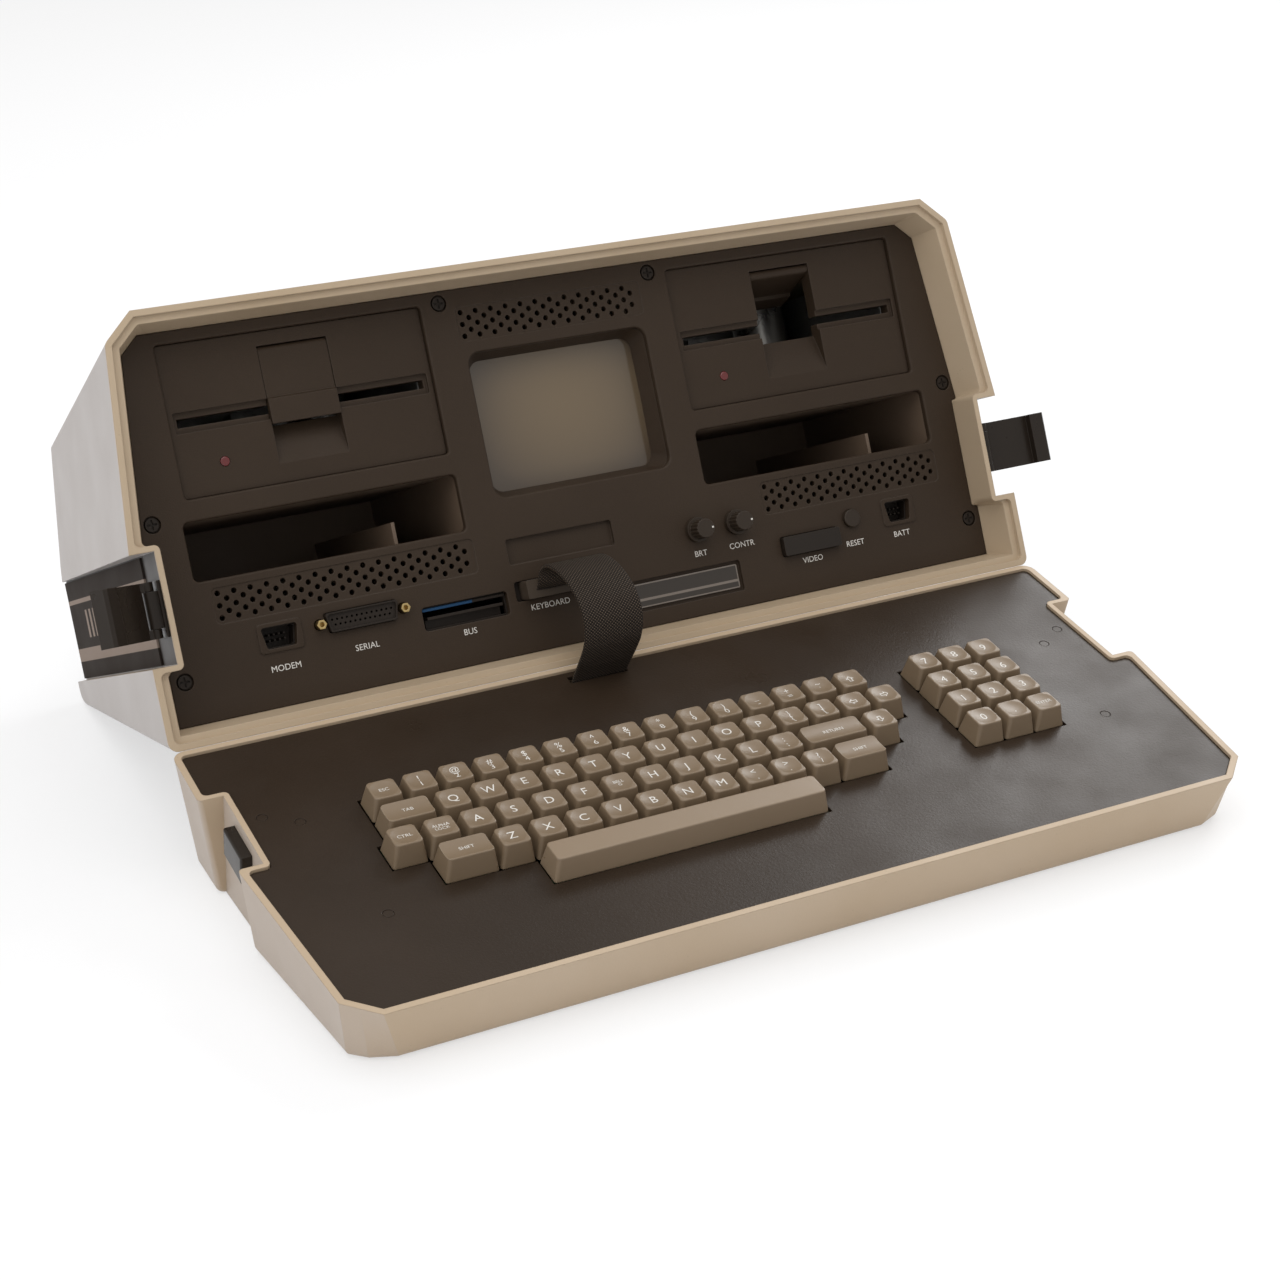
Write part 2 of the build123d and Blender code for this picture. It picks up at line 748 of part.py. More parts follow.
def drive_frame(middle):
    """Cast frame: two side walls, a rear wall and the deck that carries the spindle."""
    deck_high = deck_low + deck_thick
    with BuildPart() as frame:
        add(span(middle - frame_half, middle + frame_half, frame_low, frame_top, frame_front, frame_back))
        inner = frame_half - frame_wall
        upper = (deck_high, frame_top + 1, frame_front - 1, frame_back - frame_wall)
        lower = (frame_low - 1, deck_low, frame_front - 1, frame_back - frame_wall)
        add(span(middle - inner, middle + inner, *upper), mode=Mode.SUBTRACT)
        add(span(middle - inner, middle + inner, *lower), mode=Mode.SUBTRACT)
        add(column(middle, hub_depth, spindle_r + running, deck_low - 1, deck_high + 1), mode=Mode.SUBTRACT)
        shaft_hole = column(middle + motor_side, motor_depth, pulley_shaft_r + 0.5, deck_low - 1, deck_high + 1)
        add(shaft_hole, mode=Mode.SUBTRACT)
    return frame


def spindle(middle):
    """Hub above the deck, shaft through it and flywheel below it."""
    deck_high = deck_low + deck_thick
    with BuildPart() as turning:
        add(column(middle, hub_depth, hub_r, deck_high + fit, deck_high + fit + hub_height))
        add(column(middle, hub_depth, spindle_r, flywheel_low, deck_high + fit + 1))
        add(column(middle, hub_depth, flywheel_r, flywheel_low, flywheel_low + flywheel_thick))
        cup = column(middle, hub_depth, hub_r - 4, deck_high + fit + 2, deck_high + fit + hub_height + 1)
        add(cup, mode=Mode.SUBTRACT)
        for turn in range(4):
            angle = pi / 2 * turn
            u = middle + flywheel_ring * cos(angle)
            depth = hub_depth + flywheel_ring * sin(angle)
            add(column(u, depth, flywheel_hole_r, 0, drive_high), mode=Mode.SUBTRACT)
    return turning


def motor(middle):
    """Motor can standing on the deck."""
    deck_high = deck_low + deck_thick
    with BuildPart() as can:
        add(column(middle + motor_side, motor_depth, motor_r, deck_high, deck_high + motor_height))
        bush = column(middle + motor_side, motor_depth, pulley_shaft_r + running, deck_high - 1, deck_high + 14)
        add(bush, mode=Mode.SUBTRACT)
    return can


def motor_pulley(middle):
    """Pulley below the deck on the motor's own shaft."""
    with BuildPart() as pulley:
        place = (middle + motor_side, motor_depth)
        add(column(*place, pulley_r, flywheel_low + 1, flywheel_low + flywheel_thick - 1))
        add(column(*place, pulley_shaft_r, flywheel_low + 1, deck_low + deck_thick + 12))
    return pulley


def belt_loop(middle, grow):
    """Outline round flywheel and pulley, this much beyond them."""
    low = flywheel_low + (flywheel_thick - belt_height) / 2
    origin = SIDE.from_local_coords((low, 0, 0))
    with BuildSketch(Plane(origin=origin, x_dir=(1, 0, 0), z_dir=panel_up)) as loop:
        with Locations((middle, hub_depth)):
            Circle(flywheel_r + grow)
        with Locations((middle + motor_side, motor_depth)):
            Circle(pulley_r + grow)
        make_hull()
    return loop.sketch


with BuildPart() as drive_frames:
    for side in sides:
        add(drive_frame(side * drive_u).part)
save(drive_frames, "drive_frames")

for side, name in ((-1, "left"), (1, "right")):
    save(spindle(side * drive_u), f"spindle_{name}")
    save(motor_pulley(side * drive_u), f"motor_pulley_{name}")

with BuildPart() as drive_motors:
    for side in sides:
        add(motor(side * drive_u).part)
save(drive_motors, "drive_motors")

with BuildPart() as drive_belts:
    for side in sides:
        extrude(belt_loop(side * drive_u, belt_gap + belt_thick), amount=belt_height)
        extrude(belt_loop(side * drive_u, belt_gap), amount=belt_height, mode=Mode.SUBTRACT)
save(drive_belts, "drive_belts")

rail_back = frame_back - frame_wall
with BuildPart() as head_rails:
    for side in sides:
        for rail in sides:
            place = (side * drive_u + rail * rail_side, rail_v)
            add(rod(*place, rail_r, rail_front, rail_back))
        stand_low = deck_low + deck_thick
        stand_high = rail_v + rail_r + 1
        half = rail_side + 4
        place = (side * drive_u - half, side * drive_u + half, stand_low, stand_high)
        add(span(*place, rail_front - 4, rail_front))
save(head_rails, "head_rails")


def head_carriage(middle):
    """Block that carries the head along its two rails."""
    front = carriage_depth
    back = carriage_depth + carriage_length
    with BuildPart() as carriage:
        add(block(middle, rail_v, 2 * rail_side + 12, 9, front, back, 1.0))
        add(block(middle, rail_v + 8, 14, 8, front, back - 4))
        for rail in sides:
            bore = rod(middle + rail * rail_side, rail_v, rail_r + running, front - 1, back + 1)
            add(bore, mode=Mode.SUBTRACT)
    return carriage


for side, name in ((-1, "left"), (1, "right")):
    save(head_carriage(side * drive_u), f"head_carriage_{name}")

with BuildPart() as drive_shelves:
    for side in sides:
        middle = side * drive_u
        top = drive_low
        low = top - shelf_thick
        half = frame_half
        add(span(middle - half, middle + half, low, top, panel_back, frame_back))
        flange_low = pocket_high + pocket_wall + 0.5
        add(span(middle - half, middle + half, flange_low, top, panel_back, panel_back + shelf_thick))
save(drive_shelves, "drive_shelves")

# ---------------------------------------------------------------- disk pockets
with BuildPart() as disk_pockets:
    for side in sides:
        middle = side * pocket_u
        back = panel_back + pocket_length
        outer = (pocket_width + 2 * pocket_wall, pocket_high - pocket_low + 2 * pocket_wall)
        add(block(middle, pocket_middle, *outer, panel_back, back + pocket_wall))
        inner = (pocket_width, pocket_high - pocket_low, panel_back, back)
        add(block(middle, pocket_middle, *inner), mode=Mode.SUBTRACT)
        divider_u = middle + divider_side
        half = divider_thick / 2
        add(span(divider_u - half, divider_u + half, pocket_low, pocket_low + divider_height, panel_back + 4, back))
save(disk_pockets, "disk_pockets")

# ---------------------------------------------------------------- picture tube
face_back = glass_depth + 1 + tube_face_thick
face_width = glass_width + 2 * tube_edge
face_height = glass_height + 2 * tube_edge

with BuildPart() as screen_surround:
    outer = (screen_width + 2 * surround_wall, screen_height + 2 * surround_wall)
    add(block(screen_u, screen_v, *outer, panel_back, face_back, 3.0))
    near = block(screen_u, screen_v, screen_width, screen_height, panel_back, panel_back + 0.01, screen_corner)
    far = block(screen_u, screen_v, glass_width, glass_height, glass_depth, glass_depth + 0.01, screen_corner)
    toward = Axis(FACE.origin, panel_out)
    loft([near.faces().sort_by(toward)[-1], far.faces().sort_by(toward)[0]], mode=Mode.SUBTRACT)
    add(block(screen_u, screen_v, glass_width, glass_height, glass_depth, face_back, screen_corner), mode=Mode.SUBTRACT)
    pocket = (face_width + 2 * fit, face_height + 2 * fit, glass_depth + 1 - fit, face_back, screen_corner)
    add(block(screen_u, screen_v, *pocket), mode=Mode.SUBTRACT)
save(screen_surround, "screen_surround")

with BuildPart() as picture_tube:
    add(block(screen_u, screen_v, face_width, face_height, glass_depth + 1, face_back, screen_corner))
    with BuildSketch(at_depth(face_back)) as funnel_start:
        with Locations((screen_u, screen_v)):
            RectangleRounded(face_width - 4, face_height - 4, screen_corner)
    with BuildSketch(at_depth(tube_neck_front)) as funnel_end:
        with Locations((screen_u, screen_v)):
            RectangleRounded(2 * tube_neck_r + 8, 2 * tube_neck_r + 8, tube_neck_r)
    loft()
    add(rod(screen_u, screen_v, tube_neck_r, tube_neck_front, tube_back))
    add(rod(screen_u, screen_v, tube_neck_r + 3, tube_back - 4, tube_back + 10))
save(picture_tube, "picture_tube")

with BuildPart() as deflection_yoke:
    front = tube_neck_front + fit
    add(rod(screen_u, screen_v, yoke_r, front, front + yoke_length))
    add(rod(screen_u, screen_v, yoke_r - 7, front + yoke_length, front + yoke_length + 8))
    add(rod(screen_u, screen_v, tube_neck_r + fit, front - 1, front + yoke_length + 9), mode=Mode.SUBTRACT)
save(deflection_yoke, "deflection_yoke")

with BuildPart() as tube_clamp:
    clamp_front = face_back
    clamp_back = face_back + clamp_thick
    outer = (screen_width + 2 * surround_wall, screen_height + 2 * surround_wall)
    add(block(screen_u, screen_v, *outer, clamp_front, clamp_back, 3.0))
    inner = (face_width - 4 + 1, face_height - 4 + 1, clamp_front, clamp_back, screen_corner)
    add(block(screen_u, screen_v, *inner), mode=Mode.SUBTRACT)
save(tube_clamp, "tube_clamp")


# ---------------------------------------------------------------- knobs, reset button and plugs
board_top = board_v + board_thick


def on_board(u, half, top, front, back):
    """Connector body that stands on the logic board behind the panel."""
    return span(u - half, u + half, board_top, top, front, back)


with BuildPart() as panel_controls:
    for u, v in knob_spots:
        add(rod(u, v, pot_r, panel_back, panel_back + pot_length))
        add(rod(u, v, knob_shaft_r + running, panel_back, panel_back + pot_length - 1), mode=Mode.SUBTRACT)
    add(on_board(reset_u, reset_r + 3, reset_v + reset_r + 3, panel_back, panel_back + 12))
    add(rod(reset_u, reset_v, reset_r + running, panel_back, panel_back + 5), mode=Mode.SUBTRACT)
save(panel_controls, "panel_controls")


def knob(u, v):
    """Control knob with its skirt, grip flutes and shaft."""
    front = panel_depth - knob_lift - knob_length
    with BuildPart() as turned:
        add(rod(u, v, knob_r, front, panel_depth - knob_lift))
        fillet(turned.edges().group_by(Axis(FACE.origin, panel_out))[-1], 0.8)
        add(rod(u, v, knob_skirt_r, panel_depth - knob_lift - 3, panel_depth - knob_lift))
        flute = rod(u + knob_r + flute_r / 2, v, flute_r, front, panel_depth - knob_lift - 3)
        knob_line = Axis(FACE.from_local_coords((u, v, 0)), panel_out)
        for turn in range(knob_flutes):
            add(flute.rotate(knob_line, 360 / knob_flutes * turn), mode=Mode.SUBTRACT)
        add(rod(u, v, knob_shaft_r, panel_depth - knob_lift, panel_back + pot_length - 2))
    return turned


save(knob(*knob_spots[0]), "knob_brightness")
save(knob(*knob_spots[1]), "knob_contrast")

with BuildPart() as reset_button:
    add(rod(reset_u, reset_v, reset_r, panel_depth - reset_travel - 0.5, panel_back + 5 - reset_travel - 0.3))
    fillet(reset_button.edges().group_by(Axis(FACE.origin, panel_out))[-1], 0.6)
save(reset_button, "reset_button")


def plug(spot, width, proud, tongue_width):
    """Plug in a panel socket: a body standing proud and a tongue behind it."""
    u, v, opening_width, height = spot
    shoulder = panel_back - plug_seat
    with BuildPart() as piece:
        add(block(u, v, width, height - 2 * fit, panel_depth - proud, shoulder, 1.2))
        tongue = (tongue_width, tongue_height, shoulder, socket_back - 3)
        add(block(u, v, *tongue))
    return piece


video_tongue = 30.0
keyboard_tongue = 40.0
save(plug(video_spot, video_spot[2] - 2 * fit, video_proud, video_tongue), "video_plug")
save(plug(socket_spot, plug_width, plug_proud, keyboard_tongue), "ribbon_plug")

with BuildPart() as panel_connectors:
    for spot, tongue in ((video_spot, video_tongue), (socket_spot, keyboard_tongue)):
        u, v, width, height = spot
        add(on_board(u, width / 2 + 1, v + height / 2 + 2, panel_back, socket_back))
        hole = (tongue + 2 * running, tongue_height + 2 * running, panel_back, socket_back - 2)
        add(block(u, v, *hole), mode=Mode.SUBTRACT)
    for u, v, width, height in (modem_spot, battery_spot):
        add(on_board(u, width / 2 + 4, v + height / 2 + 3, panel_back, socket_back))
        shell = d_shape(at_depth(panel_back), u, v, width, height, -0.6)
        extrude(shell, amount=-8, mode=Mode.SUBTRACT)
        for side in sides:
            for step in range(4):
                pin_u = u + (step - 1.5) * small_pitch
                add(rod(pin_u, v + side * small_row, contact_r, panel_back + 2, panel_back + 9))
save(panel_connectors, "panel_connectors")

with BuildPart() as serial_connector:
    half = jack_spacing / 2 + 4
    add(on_board(serial_u, half, serial_v + serial_height / 2 + 2, panel_back, socket_back))
    shell_front = panel_depth - shell_proud
    shell = d_shape(at_depth(shell_front), serial_u, serial_v, serial_width, serial_height)
    extrude(shell, amount=shell_front - panel_back)
    shell = d_shape(at_depth(shell_front), serial_u, serial_v, serial_width, serial_height, -0.9)
    extrude(shell, amount=-1.5, mode=Mode.SUBTRACT)
    with BuildSketch(at_depth(shell_front)):
        with Locations((serial_u, serial_v + serial_row)):
            with GridLocations(serial_pitch, 1, 13, 1):
                Circle(contact_r)
        with Locations((serial_u, serial_v - serial_row)):
            with GridLocations(serial_pitch, 1, 12, 1):
                Circle(contact_r)
    extrude(amount=-6, mode=Mode.SUBTRACT)
    for side in sides:
        jack_u = serial_u + side * jack_spacing / 2
        add(rod(jack_u, serial_v, 1.6, panel_back, socket_back - 2), mode=Mode.SUBTRACT)
save(serial_connector, "serial_connector")

with BuildPart() as jackscrews:
    for side in sides:
        jack_u = serial_u + side * jack_spacing / 2
        with BuildSketch(at_depth(panel_depth - jack_proud)):
            with Locations((jack_u, serial_v)):
                RegularPolygon(jack_r, 6)
        extrude(amount=panel_depth - jack_proud - panel_back)
        add(rod(jack_u, serial_v, 1.5, panel_back, socket_back - 4))
        add(rod(jack_u, serial_v, 1.3, panel_depth - jack_proud, panel_depth), mode=Mode.SUBTRACT)
save(jackscrews, "jackscrews")

with BuildPart() as bus_connector:
    u, v, width, height = bus_spot
    card_front = panel_depth + 1.5
    collar = (panel_back, panel_back + board_behind)
    add(on_board(u, width / 2 + 2, v + height / 2 + 2, *collar))
    add(block(u, v, width - 2, height - 2, *collar), mode=Mode.SUBTRACT)
    half = width / 2 - 3
    add(on_board(u, half, v - card_half_thick, panel_back + board_behind, card_back))
    add(span(u - half, u + half, v - card_half_thick, v + card_half_thick, card_front, card_back))
    half = width / 2 - 1
    top = v + height / 2
    add(span(u - half, u + half, top - 2.5, top - 1, panel_depth + 2, panel_back))
save(bus_connector, "bus_connector")

# ---------------------------------------------------------------- logic board and power supply
with BuildPart() as logic_board:
    add(span(-board_half, board_half, board_v, board_top, panel_back + board_behind, board_back))
    chips = []
    half = chip_length / 2
    for depth in chip_depths:
        for place in range(chips_in_row):
            u = (place - (chips_in_row - 1) / 2) * chip_pitch
            spot = (u, board_top + chip_height / 2, chip_width, chip_height)
            chips.append(block(*spot, depth - half, depth + half))
    add(chips)
save(logic_board, "logic_board")

with BuildPart() as power_supply:
    add(span(-supply_half, supply_half, supply_low, supply_top, supply_front, supply_back))
    for row in range(supply_slots):
        v = supply_low + supply_margin + supply_slot_pitch * row
        reach = supply_half - supply_margin
        slot = span(-reach, reach, v, v + supply_slot_height, supply_front, supply_front + supply_slot_deep)
        add(slot, mode=Mode.SUBTRACT)
save(power_supply, "power_supply")

# ---------------------------------------------------------------- mains inlet and rocker switch
with BuildPart() as power_inlet:
    add(rear_block(inlet_u, inlet_width + 6, inlet_height + 6, housing_lip, 0, 2.0))
    add(rear_block(inlet_u, inlet_width, inlet_height, 0.5, -inlet_deep))
    add(rear_block(inlet_u, inlet_width - 4, inlet_height - 5, housing_lip, -14, 2.0), mode=Mode.SUBTRACT)
    for place in (-1, 0, 1):
        add(rear_block(inlet_u + place * blade_spacing, blade_width, blade_height, -3, -15))
    add(rear_block(rocker_u, housing_width + 4, housing_height + 4, housing_lip, 0, 1.5))
    add(rear_block(rocker_u, housing_width, housing_height, 0.5, -housing_deep))
    hollow = (rocker_width + 2 * fit, rocker_height + 2, housing_lip, 2 - housing_deep)
    add(rear_block(rocker_u, *hollow), mode=Mode.SUBTRACT)
    pin_origin = REAR.from_local_coords((rocker_u - housing_width / 2 + 1, 0, -rocker_axis_depth))
    with BuildSketch(Plane(origin=pin_origin, x_dir=REAR.y_dir, z_dir=(1, 0, 0))):
        Circle(rocker_pin_r)
    extrude(amount=housing_width - 2)
save(power_inlet, "power_inlet")

with BuildPart() as power_rocker:
    rocker_side = Plane(
        origin=REAR.from_local_coords((rocker_u - rocker_width / 2, 0, -rocker_axis_depth)),
        x_dir=REAR.y_dir,
        z_dir=(1, 0, 0),
    )
    half = rocker_height / 2
    with BuildSketch(rocker_side):
        base = [(-half, -rocker_below), (half, -rocker_below)]
        Polygon(*base, (half, rocker_peak), (0, rocker_dip), (-half, rocker_peak), align=None)
        Circle(rocker_pin_r + running, mode=Mode.SUBTRACT)
    extrude(amount=rocker_width)
    power_rocker.part = power_rocker.part.rotate(Axis(rocker_side.origin, (1, 0, 0)), -rocker_swing / 2)
save(power_rocker, "power_rocker")

# ---------------------------------------------------------------- carry handle and feet
slope_up = Vector(back_high_rise - back_low_rise, back_low_depth - back_high_depth).normalized()
slope_out = Vector(slope_up.Y, -slope_up.X)
pivot_base_v = back_low_rise + handle_pivot_share * (back_high_rise - back_low_rise)
pivot_base_n = -back_low_depth + handle_pivot_share * (back_low_depth - back_high_depth)
handle_pivot_v = pivot_base_v + handle_stand_off * slope_out.X
handle_pivot_n = pivot_base_n + handle_stand_off * slope_out.Y
handle_pivot = SIDE.from_local_coords((handle_pivot_v, handle_pivot_n, 0))
HANG = Plane(origin=handle_pivot, x_dir=(1, 0, 0), z_dir=(0, -1, 0))

with BuildPart() as carry_handle:
    outer = handle_half + handle_arm / 2
    inner = handle_half - handle_arm / 2
    with BuildSketch(HANG.offset(-handle_r)):
        with Locations((0, (handle_r - handle_drop) / 2)):
            RectangleRounded(2 * outer, handle_drop + 2 * handle_r + handle_r, handle_r)
        with Locations((0, 0)):
            Rectangle(2 * inner, 2 * (handle_drop - handle_r), mode=Mode.SUBTRACT)
    extrude(amount=2 * handle_r)
    fillet(carry_handle.edges().filter_by(Axis.X), 3.0)
    pin_origin = HANG.from_local_coords((-outer - 1, 0, 0))
    with BuildSketch(Plane(origin=pin_origin, x_dir=(0, 1, 0), z_dir=(1, 0, 0))):
        Circle(handle_pin_r + running)
    extrude(amount=2 * outer + 2, mode=Mode.SUBTRACT)
save(carry_handle, "carry_handle")

with BuildPart() as handle_ears:
    for side in sides:
        near = handle_half + handle_arm / 2 + fit
        with BuildSketch(SIDE.offset(side * near)):
            base = Vector(pivot_base_v, pivot_base_n)
            low = base - slope_up * ear_base
            high = base + slope_up * ear_base
            pivot = Vector(handle_pivot_v, handle_pivot_n)
            tip_low = pivot - slope_up * ear_tip
            tip_high = pivot + slope_up * ear_tip
            ear = [(point.X, point.Y) for point in (low, tip_low, tip_high, high)]
            Polygon(*ear, align=None)
            with Locations((handle_pivot_v, handle_pivot_n)):
                Circle(ear_tip)
        extrude(amount=side * ear_thick)
        with BuildSketch(SIDE.offset(side * (near + 1))):
            with Locations((handle_pivot_v, handle_pivot_n)):
                Circle(handle_pin_r)
        extrude(amount=-side * (handle_arm + 1))
save(handle_ears, "handle_ears")

with BuildPart() as rubber_feet:
    down = panel_up * -heel_depth + panel_out * -heel_rise
    for u, depth in foot_spots:
        seat = SIDE.from_local_coords((floor_slope * depth, -depth, u))
        with BuildSketch(Plane(origin=seat, x_dir=(1, 0, 0), z_dir=down)):
            Circle(foot_r)
        extrude(amount=foot_height)
    fillet(rubber_feet.edges().sort_by(Axis(fold_point, down))[-4:], 1.2)
save(rubber_feet, "rubber_feet")

# ---------------------------------------------------------------- latches
hook_start = latch_pin_depth + rim_gap + keeper_far + latch_clear
latch_far = latch_near + latch_thick
ear_start = latch_knuckle / 2 + fit
latch_ear = latch_width / 2 - ear_start


def latch_plane(side, v):
    """Plane across a latch pin: x straight out of the case, y towards the viewer, z along the pin."""
    pin = SIDE.from_local_coords((v, -latch_pin_depth, side * latch_pin_u))
    return Plane(origin=pin, x_dir=(side, 0, 0), z_dir=panel_up * -side)


def latch(side, swing):
    """Lever with its hook, straight out of the groove when fully open, swung in by so many degrees."""
    with BuildPart() as lever:
        with BuildSketch(latch_plane(side, latch_v + side * latch_width / 2)):
            Polygon(
                (latch_barrel_r + 0.9, -latch_near),
                (hook_start, -latch_near),
                (hook_start, latch_hook),
                (latch_arm - 1.5, latch_hook),
                (latch_arm, latch_hook - 1.5),
                (latch_arm, -latch_far),
                (latch_barrel_r + 0.9, -latch_far),
                align=None,
            )
        extrude(amount=latch_width)
        for end in sides:
            start = latch_v + side * (latch_width / 2 if end == 1 else -ear_start)
            with BuildSketch(latch_plane(side, start)):
                Circle(latch_barrel_r)
                Polygon(
                    (0, latch_barrel_r),
                    (0, -latch_barrel_r),
                    (latch_barrel_r + 1.5, -latch_far),
                    (latch_barrel_r + 1.5, -latch_near),
                    align=None,
                )
            extrude(amount=latch_ear)
        with BuildSketch(latch_plane(side, latch_v + side * latch_width)):
            Circle(latch_pin_r + running)
        extrude(amount=2 * latch_width, mode=Mode.SUBTRACT)
        edges = lever.edges().filter_by(Axis(fold_point, panel_up))
        outer_edges = edges.sort_by(Axis(fold_point, (side, 0, 0)))[-1:]
        fillet(outer_edges, 1.0)
    pin_line = Axis(latch_plane(side, latch_v).origin, panel_up)
    lever.part = lever.part.rotate(pin_line, -side * swing)
    return lever


save(latch(-1, latch_left_swung), "latch_left")
save(latch(1, 0), "latch_right")

with BuildPart() as latch_brackets:
    for side in sides:
        with BuildSketch(SIDE.offset(side * groove_half)):
            with Locations((latch_v, -latch_pin_depth - 3)):
                Rectangle(latch_width, 2 * latch_pin_depth)
        extrude(amount=side * bracket_thick)
        with BuildSketch(SIDE.offset(side * groove_half)):
            with Locations((latch_v, -latch_pin_depth)):
                Rectangle(latch_knuckle, 2 * latch_barrel_r)
        extrude(amount=side * (latch_pin_u - groove_half))
        with BuildSketch(latch_plane(side, latch_v + side * latch_knuckle / 2)):
            Circle(latch_barrel_r)
        extrude(amount=latch_knuckle)
        with BuildSketch(latch_plane(side, latch_v + side * latch_width / 2)):
            Circle(latch_pin_r)
        extrude(amount=latch_width)
        with BuildSketch(SIDE.offset(side * (groove_half + bracket_thick))):
            with Locations((latch_v - 9, -latch_pin_depth - 8), (latch_v + 9, -latch_pin_depth - 8)):
                Circle(2.2)
        extrude(amount=side * 0.9)
save(latch_brackets, "latch_brackets")

# ---------------------------------------------------------------- keyboard case
tray_reach = 90.0


def tray_below(inset, front):
    """Tapered solid under the keyboard case's rim, from a depth below the rim down past the table."""
    with BuildPart() as solid:
        extrude(rim_outline(TRAY_DOWN, inset), amount=tray_reach, taper=tray_draft)
        with BuildSketch(TRAY_DOWN.offset(front)):
            Rectangle(4 * case_half_width, 4 * case_half_width)
        extrude(amount=tray_reach, mode=Mode.INTERSECT)
    return solid.part


def tray_box(u0, u1, v0, v1, near, far):
    """Block in the keyboard case, between two depths below its rim."""
    with BuildPart() as piece:
        with BuildSketch(TRAY_DOWN.offset(near)):
            with Locations(((u0 + u1) / 2, (v0 + v1) / 2)):
                Rectangle(u1 - u0, v1 - v0)
        extrude(amount=far - near)
    return piece.part


def tray_post(u, y, radius, near, far):
    """Round post in the keyboard case; y is negative towards the user."""
    with BuildPart() as piece:
        with BuildSketch(TRAY_DOWN.offset(near)):
            with Locations((u, -y)):
                Circle(radius)
        extrude(amount=far - near)
    return piece.part


def above_table(height):
    """Everything higher than this above the table."""
    with BuildPart() as space:
        with BuildSketch(Plane.XY.offset(height)):
            Rectangle(4 * case_half_width, 4 * case_half_width)
        extrude(amount=200)
    return space.part


plate_bottom = plate_sink + plate_thick

with BuildPart() as tray_block:
    add(tray_below(0, 0))
    add(above_table(0), mode=Mode.INTERSECT)
    fillet(tray_block.faces().sort_by(Axis.Z)[0].edges(), tray_bottom_edge)
    for side in sides:
        inner = side * groove_half
        outer = side * 2 * case_half_width
        groove = tray_box(min(inner, outer), max(inner, outer), groove_low, groove_high, -1, tray_reach)
        add(groove, mode=Mode.SUBTRACT)
    groove_edges = tray_block.edges().filter_by(
        lambda e: e.length > tray_front_height
        and abs(e.center().X) > groove_half + 2
        and groove_low - 1 < TRAY_DOWN.to_local_coords(e.center()).Y < groove_high + 1
    )
    fillet(groove_edges, groove_edge)

with BuildPart() as tray_posts:
    for u, y in board_posts:
        add(tray_post(u, y, 4.0, key_board_top + key_board_thick, tray_reach))
    for u, y in plate_screws:
        add(tray_post(u, y, 5.0, plate_bottom, tray_reach))
    add(above_table(tray_wall / 2), mode=Mode.INTERSECT)

with BuildPart() as tray_space:
    add(tray_below(tray_wall, plate_bottom + plate_ledge))
    add(above_table(tray_wall), mode=Mode.INTERSECT)
    for side in sides:
        inner = side * (groove_half - groove_skin)
        outer = side * 2 * case_half_width
        low = groove_low - groove_skin
        high = groove_high + groove_skin
        groove = tray_box(min(inner, outer), max(inner, outer), low, high, 0, tray_reach)
        add(groove, mode=Mode.SUBTRACT)

with BuildPart() as keyboard_case:
    add(tray_block.part)
    extrude(rim_outline(TRAY_DOWN, plate_inset, groove_skin), amount=plate_bottom, mode=Mode.SUBTRACT)
    ledge_opening = rim_outline(TRAY_DOWN, plate_inset + plate_ledge, groove_skin + plate_ledge)
    extrude(ledge_opening, amount=plate_bottom + plate_ledge, mode=Mode.SUBTRACT)
    add(tray_space.part, mode=Mode.SUBTRACT)
    add(tray_posts.part)
    for u, y in plate_screws:
        add(tray_post(u, y, screw_r + 0.1, plate_bottom, plate_bottom + 14), mode=Mode.SUBTRACT)
save(keyboard_case, "keyboard_case")

# ---------------------------------------------------------------- keys
number_row = [(place, 1.0) for place in range(15)]
upper_row = [(0.25, 1.5)] + [(place + 1.5, 1.0) for place in range(14)]
home_row = [(-0.25, 1.0), (0.75, 1.0)] + [(place + 1.75, 1.0) for place in range(10)]
home_row += [(12.25, 2.0), (13.75, 1.0)]
lower_row = [(1.0, 1.5)] + [(place + 2.25, 1.0) for place in range(10)] + [(12.5, 1.5)]
space_row = [(6.75, 8.0)]
rows = [number_row, upper_row, home_row, lower_row, space_row]
row_names = ["number_keys", "upper_keys", "home_keys", "lower_keys", "space_bar"]
keypad_units = (keypad_u - first_key_u) / key_pitch
stabiliser = 2.5           # offset of the space bar's side guides, in key pitches


def keycap(units):
    """Keycap at the middle of the shared edge, with a dished top and its stem."""
    width = key_base + (units - 1) * key_pitch
    top_less = 2 * (key_bottom_drop + key_top_height) * tan(radians(key_draft))
    with BuildPart() as cap:
        with BuildSketch(TRAY.offset(-key_bottom_drop)):
            RectangleRounded(width, key_base, key_corner)
        with BuildSketch(TRAY.offset(key_top_height)):
            RectangleRounded(width - top_less, key_base - top_less, key_top_corner)
        loft()
        fillet(cap.faces().sort_by(Axis(fold_point, keys_up))[-1].edges(), 0.7)
        dish_plane = TRAY.offset(key_top_height + dish_r - dish_depth)
        if units == 1.0:
            with Locations(dish_plane):
                Sphere(dish_r, mode=Mode.SUBTRACT)
        elif units < 3:
            dish_start = Plane(origin=dish_plane.from_local_coords((-width, 0, 0)), x_dir=keys_rear, z_dir=(1, 0, 0))
            with BuildSketch(dish_start):
                Circle(dish_r)
            extrude(amount=2 * width, mode=Mode.SUBTRACT)
        guides = [0.0] if units < 3 else [-stabiliser, 0.0, stabiliser]
        with BuildSketch(TRAY.offset(-key_bottom_drop)):
            with Locations(*[(guide * key_pitch, 0) for guide in guides]):
                Circle(stem_r)
        extrude(amount=-(switch_top + 4 - key_bottom_drop))
    return cap.part


